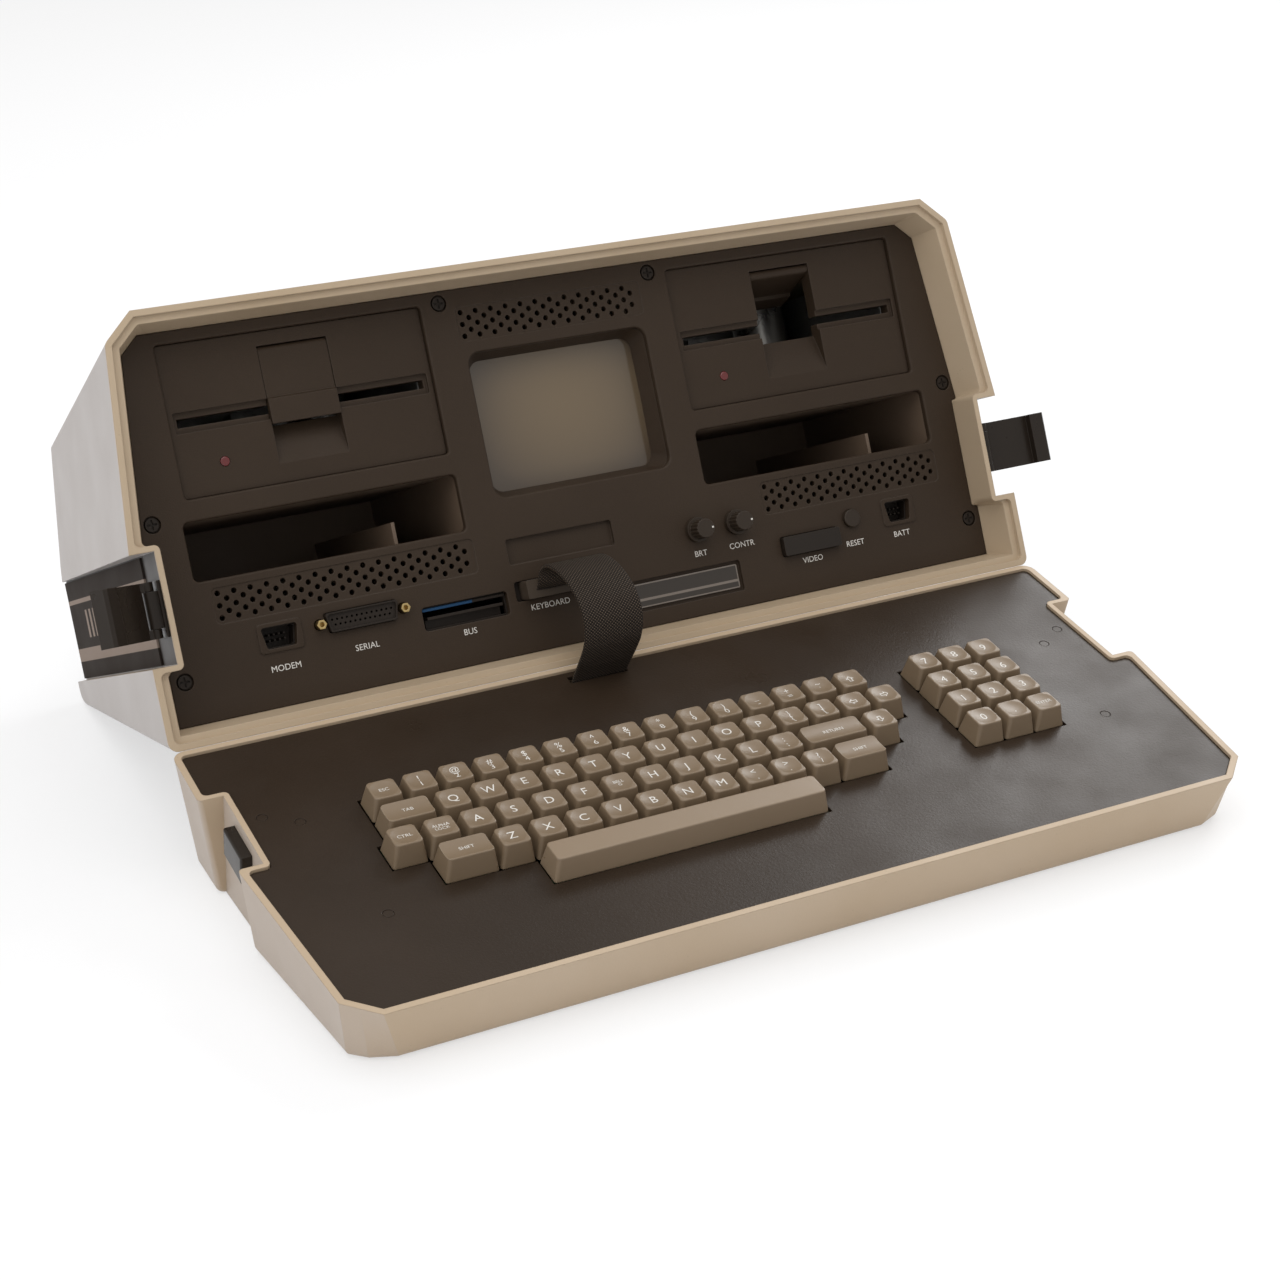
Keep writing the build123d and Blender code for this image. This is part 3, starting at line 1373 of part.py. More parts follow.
caps = {units: keycap(units) for units in (1.0, 1.5, 2.0, 8.0)}


def key_shift(place, row):
    """Move from the middle of the shared edge to a key's middle."""
    return Location(TRAY.x_dir * (first_key_u + place * key_pitch) + TRAY.y_dir * (first_row_y - row * key_pitch))


for row, (keys, name) in enumerate(zip(rows, row_names)):
    with BuildPart() as key_row:
        add([caps[units].moved(key_shift(place, row)) for place, units in keys])
    save(key_row, name)

keypad = [(keypad_units + column_number, row) for row in range(4) for column_number in range(3)]
with BuildPart() as keypad_keys:
    add([caps[1.0].moved(key_shift(place, row)) for place, row in keypad])
save(keypad_keys, "keypad_keys")

switch_places = [(place, row) for row, keys in enumerate(rows) for place, units in keys]
switch_places += keypad
switch_places += [(space_row[0][0] - stabiliser, 4), (space_row[0][0] + stabiliser, 4)]
with BuildPart() as one_switch:
    with BuildSketch(TRAY.offset(-key_board_top)):
        Rectangle(switch_size, switch_size)
        Circle(stem_r + running, mode=Mode.SUBTRACT)
    extrude(amount=key_board_top - switch_top)
with BuildPart() as key_switches:
    add([one_switch.part.moved(key_shift(place, row)) for place, row in switch_places])
save(key_switches, "key_switches")

with BuildPart() as keyboard_plate:
    extrude(rim_outline(TRAY_DOWN, plate_inset + fit, groove_skin + fit), amount=plate_bottom)
    with BuildSketch(TRAY_DOWN):
        Rectangle(4 * case_half_width, 4 * case_half_width)
    extrude(amount=plate_sink, mode=Mode.SUBTRACT)
    openings = []
    for row, keys in enumerate(rows):
        left = first_key_u + (keys[0][0] - keys[0][1] / 2 + 0.5) * key_pitch - key_base / 2 - key_clear
        right = first_key_u + (keys[-1][0] + keys[-1][1] / 2 - 0.5) * key_pitch + key_base / 2 + key_clear
        middle = -(first_row_y - row * key_pitch)
        half = key_base / 2 + key_clear
        openings.append(tray_box(left, right, middle - half, middle + half, 0, plate_bottom))
    left = keypad_u - key_base / 2 - key_clear
    right = keypad_u + 2 * key_pitch + key_base / 2 + key_clear
    low = -first_row_y - key_base / 2 - key_clear
    high = -first_row_y + 3 * key_pitch + key_base / 2 + key_clear
    openings.append(tray_box(left, right, low, high, 0, plate_bottom))
    half = cable_width / 2 + 1
    slot_v_low = -cable_slot_y - cable_slot / 2
    openings.append(tray_box(cable_u - half, cable_u + half, slot_v_low, slot_v_low + cable_slot, 0, plate_bottom))
    add(openings, mode=Mode.SUBTRACT)
    for u, y in plate_screws:
        add(tray_post(u, y, screw_r + 0.2, 0, plate_bottom), mode=Mode.SUBTRACT)
        add(tray_post(u, y, plate_head_r + 0.2, 0, plate_sink + 1), mode=Mode.SUBTRACT)
save(keyboard_plate, "keyboard_plate")

with BuildPart() as keyboard_screws:
    for u, y in plate_screws:
        add(tray_post(u, y, plate_head_r, plate_sink + 0.1, plate_sink + 1))
        add(tray_post(u, y, screw_r, plate_sink + 1, plate_bottom + 12))
save(keyboard_screws, "keyboard_screws")

board_bottom = key_board_top + key_board_thick
header_half = header_width / 2
with BuildPart() as keyboard_board:
    add(tray_box(*key_board, key_board_top, board_bottom))
    header = (cable_u - header_half, cable_u + header_half, -header_y, -header_y + header_depth)
    add(tray_box(*header, board_bottom, board_bottom + header_height))
save(keyboard_board, "keyboard_board")

with BuildPart() as latch_keepers:
    for side in sides:
        inner = side * groove_half
        outer = side * (groove_half + keeper_thick)
        half = keeper_width / 2
        add(tray_box(min(inner, outer), max(inner, outer), latch_v - half, latch_v + half, keeper_near, keeper_far))
    fillet(latch_keepers.edges().filter_by(lambda e: abs(e.center().X) > groove_half + keeper_thick - 0.1), 1.2)
save(latch_keepers, "latch_keepers")

# ---------------------------------------------------------------- braided flat cable
# Route of the cable's middle, as distance behind the origin and height above the table.
cable_start = SIDE.from_local_coords((socket_spot[1], -(panel_depth - plug_proud), 0))
cable_lead = cable_start + panel_out * 14
cable_end = TRAY.from_local_coords((0, header_y, -(board_bottom + header_height / 2)))
cable_tail = cable_end + keys_rear * 13
cable_route = [
    (cable_start.Y, cable_start.Z),
    (cable_lead.Y, cable_lead.Z),
    (113.5, 118.0),
    (98.6, 120.4),
    (84.7, 109.0),
    (81.5, 91.5),
    (88.0, 76.0),
    (95.5, 62.0),
    (98.0, 45.0),
    (96.0, 28.0),
    (88.0, 14.5),
    (75.0, 10.0),
    (65.0, 20.0),
    (cable_tail.Y, cable_tail.Z),
    (cable_end.Y, cable_end.Z),
]
cable_bend = 8.0
with BuildPart() as ribbon_cable:
    with BuildLine(Plane(origin=(cable_u, 0, 0), x_dir=(0, 1, 0), z_dir=(1, 0, 0))) as cable_line:
        FilletPolyline(*cable_route, radius=cable_bend)
    with BuildSketch(Plane(origin=cable_line.line @ 0, x_dir=(1, 0, 0), z_dir=cable_line.line % 0)):
        Rectangle(cable_width, cable_thick)
    sweep(path=cable_line.line)
save(ribbon_cable, "ribbon_cable")
cable_length = cable_line.wires()[0].length
bends = sorted({round(edge.radius, 1) for edge in cable_line.edges().filter_by(GeomType.CIRCLE)})
print("cable length", round(cable_length, 1), "mm, bend radii", bends)
print("cable section by length", round(cable_length * cable_width * cable_thick), "mm3")
print("cable volume", round(ribbon_cable.part.volume), "mm3")
print("fold angle", round(fold_angle, 3), "fold point", fold_point, "panel up", panel_up)
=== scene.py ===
import bmesh
import bpy
from math import cos, pi, radians, sin, sqrt
from mathutils import Matrix, Vector


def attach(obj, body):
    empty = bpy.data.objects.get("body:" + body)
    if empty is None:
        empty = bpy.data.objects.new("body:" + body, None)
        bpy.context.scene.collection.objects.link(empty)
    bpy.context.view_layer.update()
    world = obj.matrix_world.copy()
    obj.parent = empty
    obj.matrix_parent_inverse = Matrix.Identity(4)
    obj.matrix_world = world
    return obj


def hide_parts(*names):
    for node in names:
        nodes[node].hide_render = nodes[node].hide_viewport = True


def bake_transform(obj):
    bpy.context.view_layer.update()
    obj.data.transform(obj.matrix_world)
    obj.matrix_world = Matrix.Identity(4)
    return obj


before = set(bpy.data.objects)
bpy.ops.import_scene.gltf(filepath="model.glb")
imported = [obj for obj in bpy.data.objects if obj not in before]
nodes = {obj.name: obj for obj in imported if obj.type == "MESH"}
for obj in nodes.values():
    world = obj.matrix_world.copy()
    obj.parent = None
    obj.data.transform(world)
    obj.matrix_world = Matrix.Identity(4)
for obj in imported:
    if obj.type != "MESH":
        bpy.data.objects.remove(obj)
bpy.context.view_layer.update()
bpy.ops.object.select_all(action="DESELECT")
scene = bpy.context.scene

# ---------------------------------------------------------------- camera
# Where the photograph was taken from: to the left of the object and above it, with a slightly long lens that is
# turned a little about its own axis.
camera_data = bpy.data.cameras.new("camera")
camera = bpy.data.objects.new("camera", camera_data)
scene.collection.objects.link(camera)
scene.camera = camera
camera_data.lens = 66.96
camera_data.sensor_width = 36.0
camera_data.clip_start = 0.01
camera_data.clip_end = 50.0
look = Vector((0.4139, 0.8108, -0.4138)).normalized()
camera_place = (-0.5339, -0.9471, 0.6092)
camera_roll = radians(-0.48)
turn = look.to_track_quat("-Z", "Y").to_matrix().to_4x4() @ Matrix.Rotation(camera_roll, 4, "Z")
camera.matrix_world = Matrix.Translation(camera_place) @ turn

# ---------------------------------------------------------------- flat braided cable
# Flat keyboard cable in a woven black sleeve, with a moulded plug. It leaves the panel, rises in a loop that hangs
# in front of it, and goes down through the slot behind the keys to the header under the keyboard's board. The
# loop's right edge reaches further out than its left one, because the sleeve has been pulled askew.
right = Vector((1.0, 0.0, 0.0))
lean = radians(65.52486)
panel_up = Vector((0.0, cos(lean), sin(lean)))
panel_out = Vector((0.0, -sin(lean), cos(lean)))
cable_width = 0.032
cable_thick = 0.0024
loop_length = 0.115
askew = 0.5
uv_per_metre = 100
route = [
    (-0.0280, 0.13612, 0.10057),
    (-0.0280, 0.13020, 0.10430),
    (-0.0276, 0.13030, 0.11500),
    (-0.0268, 0.11750, 0.12080),
    (-0.0250, 0.09900, 0.11720),
    (-0.0240, 0.08380, 0.10680),
    (-0.0245, 0.08000, 0.09100),
    (-0.0258, 0.08680, 0.07600),
    (-0.0270, 0.0955, 0.0620),
    (-0.0280, 0.0980, 0.0450),
    (-0.0280, 0.0960, 0.0280),
    (-0.0280, 0.0880, 0.0145),
    (-0.0280, 0.0750, 0.0100),
    (-0.0280, 0.0650, 0.0200),
    (-0.0280, 0.0584, 0.0349),
    (-0.0280, 0.0456, 0.0328),
]
cable_line = bpy.data.curves.new("cable_line", "CURVE")
cable_line.dimensions = "3D"
cable_line.resolution_u = 14
spline = cable_line.splines.new("NURBS")
spline.points.add(len(route) - 1)
for point, place in zip(spline.points, route):
    point.co = (*place, 1.0)
spline.order_u = 3
spline.use_endpoint_u = True
line_object = bpy.data.objects.new("cable_line", cable_line)
scene.collection.objects.link(line_object)
line_mesh = bpy.data.meshes.new_from_object(line_object)
cable_path = [vertex.co.copy() for vertex in line_mesh.vertices]
bpy.data.objects.remove(line_object)
ring = []
corners = 7
for end in (1, -1):
    for step in range(corners):
        angle = -pi / 2 + pi * step / (corners - 1)
        across = end * (cable_width / 2 - cable_thick / 2 + cable_thick / 2 * cos(angle))
        ring.append((across, end * cable_thick / 2 * sin(angle)))
cable_mesh = bpy.data.meshes.new("braided_cable")
shape = bmesh.new()
uv_layer = shape.loops.layers.uv.new("along")
rings = []
lengths = [0.0]
for index, place in enumerate(cable_path):
    before = cable_path[max(index - 1, 0)]
    after = cable_path[min(index + 1, len(cable_path) - 1)]
    tangent = (after - before).normalized()
    if index > 0:
        lengths.append(lengths[-1] + (place - cable_path[index - 1]).length)
    pulled = askew * sin(pi * sqrt(min(lengths[-1] / loop_length, 1.0)))
    side = (right + panel_out * pulled).normalized()
    normal = side.cross(tangent).normalized()
    rings.append([shape.verts.new(place + side * a + normal * b) for a, b in ring])
count = len(ring)
for index in range(len(rings) - 1):
    for step in range(count):
        other = (step + 1) % count
        sleeve_face = shape.faces.new(
            (rings[index][step], rings[index][other], rings[index + 1][other], rings[index + 1][step])
        )
        places = ((index, step), (index, other), (index + 1, other), (index + 1, step))
        for loop, (row, column) in zip(sleeve_face.loops, places):
            loop[uv_layer].uv = (ring[column][0] * uv_per_metre, lengths[row] * uv_per_metre)
        sleeve_face.smooth = True
shape.faces.new(list(reversed(rings[0])))
shape.faces.new(rings[-1])
shape.to_mesh(cable_mesh)
shape.free()
braided_cable = bpy.data.objects.new("braided_cable", cable_mesh)
scene.collection.objects.link(braided_cable)
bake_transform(braided_cable)
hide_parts("ribbon_cable")

# The sleeve's weave: two sets of strands that cross along the cable's own length and width, with painted highlights
# where they cross.
braid = bpy.data.materials.new("woven_braid")
braid.use_nodes = True
tree = braid.node_tree
shader = tree.nodes["Principled BSDF"]
place = tree.nodes.new("ShaderNodeTexCoord")
strands = []
for angle in (pi / 4, -pi / 4):
    turned = tree.nodes.new("ShaderNodeMapping")
    turned.inputs["Rotation"].default_value = (0.0, 0.0, angle)
    wave = tree.nodes.new("ShaderNodeTexWave")
    wave.inputs["Scale"].default_value = 2.5
    wave.inputs["Distortion"].default_value = 0.4
    tree.links.new(place.outputs["UV"], turned.inputs["Vector"])
    tree.links.new(turned.outputs["Vector"], wave.inputs["Vector"])
    strands.append(wave)
weave = tree.nodes.new("ShaderNodeMath")
weave.operation = "MAXIMUM"
tree.links.new(strands[0].outputs["Fac"], weave.inputs[0])
tree.links.new(strands[1].outputs["Fac"], weave.inputs[1])
tone = tree.nodes.new("ShaderNodeValToRGB")
tone.color_ramp.elements[0].color = (0.017, 0.012, 0.0085, 1.0)
tone.color_ramp.elements[1].color = (0.170, 0.125, 0.088, 1.0)
tone.color_ramp.elements[0].position = 0.45
# Painted highlight: the strands are paler where they cross.
crossing_highlight = tree.nodes.new("ShaderNodeMath")
crossing_highlight.operation = "MULTIPLY"
tree.links.new(strands[0].outputs["Fac"], crossing_highlight.inputs[0])
tree.links.new(strands[1].outputs["Fac"], crossing_highlight.inputs[1])
tree.links.new(crossing_highlight.outputs["Value"], tone.inputs["Fac"])
tree.links.new(tone.outputs["Color"], shader.inputs["Base Color"])
bump = tree.nodes.new("ShaderNodeBump")
bump.inputs["Strength"].default_value = 0.9
bump.inputs["Distance"].default_value = 0.0006
tree.links.new(weave.outputs["Value"], bump.inputs["Height"])
tree.links.new(bump.outputs["Normal"], shader.inputs["Normal"])
shader.inputs["Roughness"].default_value = 0.6
shader.inputs["Specular IOR Level"].default_value = 0.25
braided_cable.data.materials.append(braid)


def dress(material, *names):
    """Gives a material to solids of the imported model, through their own slots."""
    for name in names:
        node = nodes[name]
        if not node.material_slots:
            node.data.materials.append(material)
        for slot in node.material_slots:
            slot.link = "OBJECT"
            slot.material = material


dress(braid, "ribbon_cable")

# ---------------------------------------------------------------- case of the display unit
# Structural-foam moulding in one piece; the front panel is screwed into its bosses. Its outer skin is painted a
# greyer tone than the yellowed rim and mouth, partly bleached and partly painted cool light on its sides. Each side
# groove's floor is dark between the rim and the side strip.

# Fine moulded grain: a bump of noise over softened edges, and how far a point is on such an edge, for wear and
# painted edge highlights.
grain = bpy.data.node_groups.new("moulded_grain", "ShaderNodeTree")
for label, default in (("Scale", 1500.0), ("Strength", 0.25), ("Edge", 0.0005)):
    socket = grain.interface.new_socket(name=label, in_out="INPUT", socket_type="NodeSocketFloat")
    socket.default_value = default
grain.interface.new_socket(name="Normal", in_out="OUTPUT", socket_type="NodeSocketVector")
grain.interface.new_socket(name="Wear and highlight", in_out="OUTPUT", socket_type="NodeSocketFloat")
group_in = grain.nodes.new("NodeGroupInput")
group_out = grain.nodes.new("NodeGroupOutput")
place = grain.nodes.new("ShaderNodeTexCoord")
noise = grain.nodes.new("ShaderNodeTexNoise")
noise.inputs["Detail"].default_value = 3.0
noise.inputs["Roughness"].default_value = 0.6
edge = grain.nodes.new("ShaderNodeBevel")
edge.samples = 4
bump = grain.nodes.new("ShaderNodeBump")
bump.inputs["Distance"].default_value = 0.0003
grain.links.new(place.outputs["Object"], noise.inputs["Vector"])
grain.links.new(group_in.outputs["Scale"], noise.inputs["Scale"])
grain.links.new(noise.outputs["Fac"], bump.inputs["Height"])
grain.links.new(group_in.outputs["Strength"], bump.inputs["Strength"])
grain.links.new(group_in.outputs["Edge"], edge.inputs["Radius"])
grain.links.new(edge.outputs["Normal"], bump.inputs["Normal"])
grain.links.new(bump.outputs["Normal"], group_out.inputs["Normal"])
flat = grain.nodes.new("ShaderNodeNewGeometry")
alike = grain.nodes.new("ShaderNodeVectorMath")
alike.operation = "DOT_PRODUCT"
edge_wear_and_highlight = grain.nodes.new("ShaderNodeMapRange")
edge_wear_and_highlight.inputs["From Min"].default_value = 0.995
edge_wear_and_highlight.inputs["From Max"].default_value = 0.85
grain.links.new(edge.outputs["Normal"], alike.inputs[0])
grain.links.new(flat.outputs["Normal"], alike.inputs[1])
grain.links.new(alike.outputs["Value"], edge_wear_and_highlight.inputs["Value"])
grain.links.new(edge_wear_and_highlight.outputs["Result"], group_out.inputs["Wear and highlight"])

# Age: broad uneven yellowing and small specks, as a colour, and an uneven roughness.
age = bpy.data.node_groups.new("age", "ShaderNodeTree")
age.interface.new_socket(name="Color", in_out="INPUT", socket_type="NodeSocketColor")
age.interface.new_socket(name="Tint", in_out="INPUT", socket_type="NodeSocketColor")
for label, default in (("Uneven", 0.3), ("Specks", 0.2), ("Rough", 0.5)):
    socket = age.interface.new_socket(name=label, in_out="INPUT", socket_type="NodeSocketFloat")
    socket.default_value = default
age.interface.new_socket(name="Color", in_out="OUTPUT", socket_type="NodeSocketColor")
age.interface.new_socket(name="Roughness", in_out="OUTPUT", socket_type="NodeSocketFloat")
group_in = age.nodes.new("NodeGroupInput")
group_out = age.nodes.new("NodeGroupOutput")
place = age.nodes.new("ShaderNodeTexCoord")
broad = age.nodes.new("ShaderNodeTexNoise")
broad.inputs["Scale"].default_value = 9.0
broad.inputs["Detail"].default_value = 5.0
broad_span = age.nodes.new("ShaderNodeMapRange")
broad_span.inputs["From Min"].default_value = 0.35
broad_span.inputs["From Max"].default_value = 0.7
broad_amount = age.nodes.new("ShaderNodeMath")
broad_amount.operation = "MULTIPLY"
tinted = age.nodes.new("ShaderNodeMix")
tinted.data_type = "RGBA"
specks = age.nodes.new("ShaderNodeTexVoronoi")
specks.inputs["Scale"].default_value = 260.0
speck_span = age.nodes.new("ShaderNodeMapRange")
speck_span.inputs["From Min"].default_value = 0.06
speck_span.inputs["From Max"].default_value = 0.12
speck_span.inputs["To Min"].default_value = 1.0
speck_span.inputs["To Max"].default_value = 0.0
speck_where = age.nodes.new("ShaderNodeTexNoise")
speck_where.inputs["Scale"].default_value = 35.0
speck_some = age.nodes.new("ShaderNodeMapRange")
speck_some.inputs["From Min"].default_value = 0.55
speck_some.inputs["From Max"].default_value = 0.62
speck_amount = age.nodes.new("ShaderNodeMath")
speck_amount.operation = "MULTIPLY"
speck_final = age.nodes.new("ShaderNodeMath")
speck_final.operation = "MULTIPLY"
darker = age.nodes.new("ShaderNodeMix")
darker.data_type = "RGBA"
darker.inputs["B"].default_value = (0.09, 0.075, 0.06, 1.0)
rough_noise = age.nodes.new("ShaderNodeTexNoise")
rough_noise.inputs["Scale"].default_value = 28.0
rough_noise.inputs["Detail"].default_value = 6.0
rough_scale = age.nodes.new("ShaderNodeMath")
rough_scale.operation = "MULTIPLY_ADD"
rough_scale.inputs[1].default_value = 0.3
rough_base = age.nodes.new("ShaderNodeMath")
rough_base.operation = "SUBTRACT"
rough_base.inputs[1].default_value = 0.15
age.links.new(place.outputs["Object"], broad.inputs["Vector"])
age.links.new(place.outputs["Object"], specks.inputs["Vector"])
age.links.new(place.outputs["Object"], speck_where.inputs["Vector"])
age.links.new(place.outputs["Object"], rough_noise.inputs["Vector"])
age.links.new(broad.outputs["Fac"], broad_span.inputs["Value"])
age.links.new(broad_span.outputs["Result"], broad_amount.inputs[0])
age.links.new(group_in.outputs["Uneven"], broad_amount.inputs[1])
age.links.new(broad_amount.outputs["Value"], tinted.inputs["Factor"])
age.links.new(group_in.outputs["Color"], tinted.inputs["A"])
age.links.new(group_in.outputs["Tint"], tinted.inputs["B"])
age.links.new(specks.outputs["Distance"], speck_span.inputs["Value"])
age.links.new(speck_where.outputs["Fac"], speck_some.inputs["Value"])
age.links.new(speck_span.outputs["Result"], speck_amount.inputs[0])
age.links.new(speck_some.outputs["Result"], speck_amount.inputs[1])
age.links.new(speck_amount.outputs["Value"], speck_final.inputs[0])
age.links.new(group_in.outputs["Specks"], speck_final.inputs[1])
age.links.new(speck_final.outputs["Value"], darker.inputs["Factor"])
age.links.new(tinted.outputs["Result"], darker.inputs["A"])
age.links.new(darker.outputs["Result"], group_out.inputs["Color"])
age.links.new(rough_noise.outputs["Fac"], rough_scale.inputs[0])
age.links.new(group_in.outputs["Rough"], rough_base.inputs[0])
age.links.new(rough_base.outputs["Value"], rough_scale.inputs[2])
age.links.new(rough_scale.outputs["Value"], group_out.inputs["Roughness"])


def surface(
    name, colour, tint, rough, uneven=0.3, specks=0.0, scale=1500.0, strength=0.2, edge=0.0005, wear_and_highlight_colour=None, **sockets
):
    """Moulded, painted or metal surface, built on grain and age; its edges may be paler, as wear and painted
    highlight.
    """
    material = bpy.data.materials.new(name)
    material.use_nodes = True
    tree = material.node_tree
    shader = tree.nodes["Principled BSDF"]
    aged = tree.nodes.new("ShaderNodeGroup")
    aged.node_tree = age
    aged.inputs["Color"].default_value = (*colour, 1.0)
    aged.inputs["Tint"].default_value = (*tint, 1.0)
    aged.inputs["Uneven"].default_value = uneven
    aged.inputs["Specks"].default_value = specks
    aged.inputs["Rough"].default_value = rough
    grained = tree.nodes.new("ShaderNodeGroup")
    grained.node_tree = grain
    grained.inputs["Scale"].default_value = scale
    grained.inputs["Strength"].default_value = strength
    grained.inputs["Edge"].default_value = edge
    tree.links.new(aged.outputs["Color"], shader.inputs["Base Color"])
    tree.links.new(aged.outputs["Roughness"], shader.inputs["Roughness"])
    tree.links.new(grained.outputs["Normal"], shader.inputs["Normal"])
    # Wear and painted highlight: the edges take a paler colour.
    if wear_and_highlight_colour:
        mix = tree.nodes.new("ShaderNodeMix")
        mix.data_type = "RGBA"
        mix.inputs["B"].default_value = (*wear_and_highlight_colour, 1.0)
        tree.links.new(aged.outputs["Color"], mix.inputs["A"])
        tree.links.new(grained.outputs["Wear and highlight"], mix.inputs["Factor"])
        tree.links.new(mix.outputs["Result"], shader.inputs["Base Color"])
    for label, value in sockets.items():
        shader.inputs[label.replace("_", " ")].default_value = value
    return material


# How far a point of the display unit lies from the fold along one direction, in metres.
fold = Vector((0.0, 0.105, 0.0664044))
panel_place = bpy.data.node_groups.new("panel_place", "ShaderNodeTree")
panel_place.interface.new_socket(name="Direction", in_out="INPUT", socket_type="NodeSocketVector")
panel_place.interface.new_socket(name="Distance", in_out="OUTPUT", socket_type="NodeSocketFloat")
group_in = panel_place.nodes.new("NodeGroupInput")
group_out = panel_place.nodes.new("NodeGroupOutput")
place = panel_place.nodes.new("ShaderNodeTexCoord")
from_fold = panel_place.nodes.new("ShaderNodeVectorMath")
from_fold.operation = "SUBTRACT"
from_fold.inputs[1].default_value = fold
along = panel_place.nodes.new("ShaderNodeVectorMath")
along.operation = "DOT_PRODUCT"
panel_place.links.new(place.outputs["Object"], from_fold.inputs[0])
panel_place.links.new(from_fold.outputs["Vector"], along.inputs[0])
panel_place.links.new(group_in.outputs["Direction"], along.inputs[1])
panel_place.links.new(along.outputs["Value"], group_out.inputs["Distance"])


def distance(tree, direction):
    """Output that holds a point's distance along one of the display unit's directions."""
    found = tree.nodes.new("ShaderNodeGroup")
    found.node_tree = panel_place
    found.inputs["Direction"].default_value = direction
    return found.outputs["Distance"]


def calculate(tree, operation, first, second):
    """Output of one arithmetic step; each of its two sides is an output or a number."""
    step = tree.nodes.new("ShaderNodeMath")
    step.operation = operation
    for side, value in enumerate((first, second)):
        if isinstance(value, (int, float)):
            step.inputs[side].default_value = value
        else:
            tree.links.new(value, step.inputs[side])
    return step.outputs["Value"]


def within(tree, value, low, high):
    """Output that is 1 where a value lies between two limits."""
    return calculate(
        tree, "MULTIPLY", calculate(tree, "GREATER_THAN", value, low), calculate(tree, "LESS_THAN", value, high)
    )


def painted(material, amount, colour):
    """Puts a second colour over a material's own, where amount is 1."""
    tree = material.node_tree
    shader = tree.nodes["Principled BSDF"]
    own = shader.inputs["Base Color"].links[0].from_socket
    mix = tree.nodes.new("ShaderNodeMix")
    mix.data_type = "RGBA"
    mix.inputs["B"].default_value = (*colour, 1.0)
    tree.links.new(own, mix.inputs["A"])
    tree.links.new(amount, mix.inputs["Factor"])
    tree.links.new(mix.outputs["Result"], shader.inputs["Base Color"])


skin = surface(
    "case_skin", (0.49, 0.385, 0.27), (0.42, 0.31, 0.19), rough=0.48, uneven=0.45, specks=0.25,
    scale=900.0, strength=0.22, edge=0.0008,
)
case_middle = 0.11
skin_reach = (0.004, 1.0)
rim_back = -0.0015
faces_front = 0.3
groove_floor_reach = (0.2472, 0.2488)
groove_height = (0.0432, 0.1008)
faces_side = 0.9
tree = skin.node_tree
facing = tree.nodes.new("ShaderNodeNewGeometry")
lateral = tree.nodes.new("ShaderNodeSeparateXYZ")
tree.links.new(facing.outputs["Normal"], lateral.inputs["Vector"])
upward = tree.nodes.new("ShaderNodeVectorMath")
upward.operation = "DOT_PRODUCT"
upward.inputs[1].default_value = panel_up
tree.links.new(facing.outputs["Normal"], upward.inputs[0])
forward = tree.nodes.new("ShaderNodeVectorMath")
forward.operation = "DOT_PRODUCT"
forward.inputs[1].default_value = panel_out
tree.links.new(facing.outputs["Normal"], forward.inputs[0])
height = calculate(tree, "SUBTRACT", distance(tree, panel_up), case_middle)
length = calculate(tree, "ADD", distance(tree, panel_out), case_middle)
outward = calculate(
    tree,
    "ADD",
    calculate(tree, "MULTIPLY", distance(tree, right), lateral.outputs["X"]),
    calculate(tree, "MULTIPLY", height, upward.outputs["Value"]),
)
outward = calculate(tree, "ADD", outward, calculate(tree, "MULTIPLY", length, forward.outputs["Value"]))
behind = calculate(tree, "LESS_THAN", distance(tree, panel_out), rim_back)
not_front = calculate(tree, "MULTIPLY", behind, calculate(tree, "LESS_THAN", forward.outputs["Value"], faces_front))
# Bleaching and painted cool side light: outer faces that don't face the front turn greyer.
faded_and_side_lit = calculate(tree, "MULTIPLY", within(tree, outward, *skin_reach), not_front)
painted(skin, faded_and_side_lit, (0.445, 0.412, 0.395))
sideways = calculate(tree, "ABSOLUTE", distance(tree, right), 0.0)
groove_floor = calculate(
    tree,
    "MULTIPLY",
    within(tree, sideways, *groove_floor_reach),
    within(tree, distance(tree, panel_up), *groove_height),
)
facing_side = calculate(tree, "GREATER_THAN", calculate(tree, "ABSOLUTE", lateral.outputs["X"], 0.0), faces_side)
dark_floor = calculate(tree, "MULTIPLY", calculate(tree, "MULTIPLY", groove_floor, facing_side), behind)
painted(skin, dark_floor, (0.032, 0.026, 0.023))
dress(skin, "main_case")

# ---------------------------------------------------------------- side strips
# A dark self-adhesive strip lies in the groove of each side, behind the latch. It is printed with a plain pale
# frame, open to the rear, and a row of short bars.
strip = surface(
    "band_strip", (0.032, 0.025, 0.021), (0.042, 0.033, 0.028), rough=0.75, uneven=0.4,
    scale=1200.0, Specular_IOR_Level=0.08,
)
frame_height = (0.053, 0.089)
frame_length = (0.024, 0.3)
field_height = (0.0605, 0.0865)
field_length = (0.028, 0.3)
bars_height = (0.066, 0.082)
bars_length = (0.11, 0.19)
half_pitch = 0.005
bar_edge = 0.0026
tree = strip.node_tree
up = distance(tree, panel_up)
back = calculate(tree, "MULTIPLY", distance(tree, panel_out), -1.0)
outside = calculate(tree, "MULTIPLY", within(tree, up, *frame_height), within(tree, back, *frame_length))
inside = calculate(tree, "MULTIPLY", within(tree, up, *field_height), within(tree, back, *field_length))
bars = calculate(tree, "MULTIPLY", within(tree, up, *bars_height), within(tree, back, *bars_length))
striped = calculate(tree, "GREATER_THAN", calculate(tree, "PINGPONG", back, half_pitch), bar_edge)
frame_only = calculate(tree, "SUBTRACT", outside, inside)
printed = calculate(tree, "ADD", frame_only, calculate(tree, "MULTIPLY", bars, striped))
painted(strip, printed, (0.27, 0.215, 0.18))
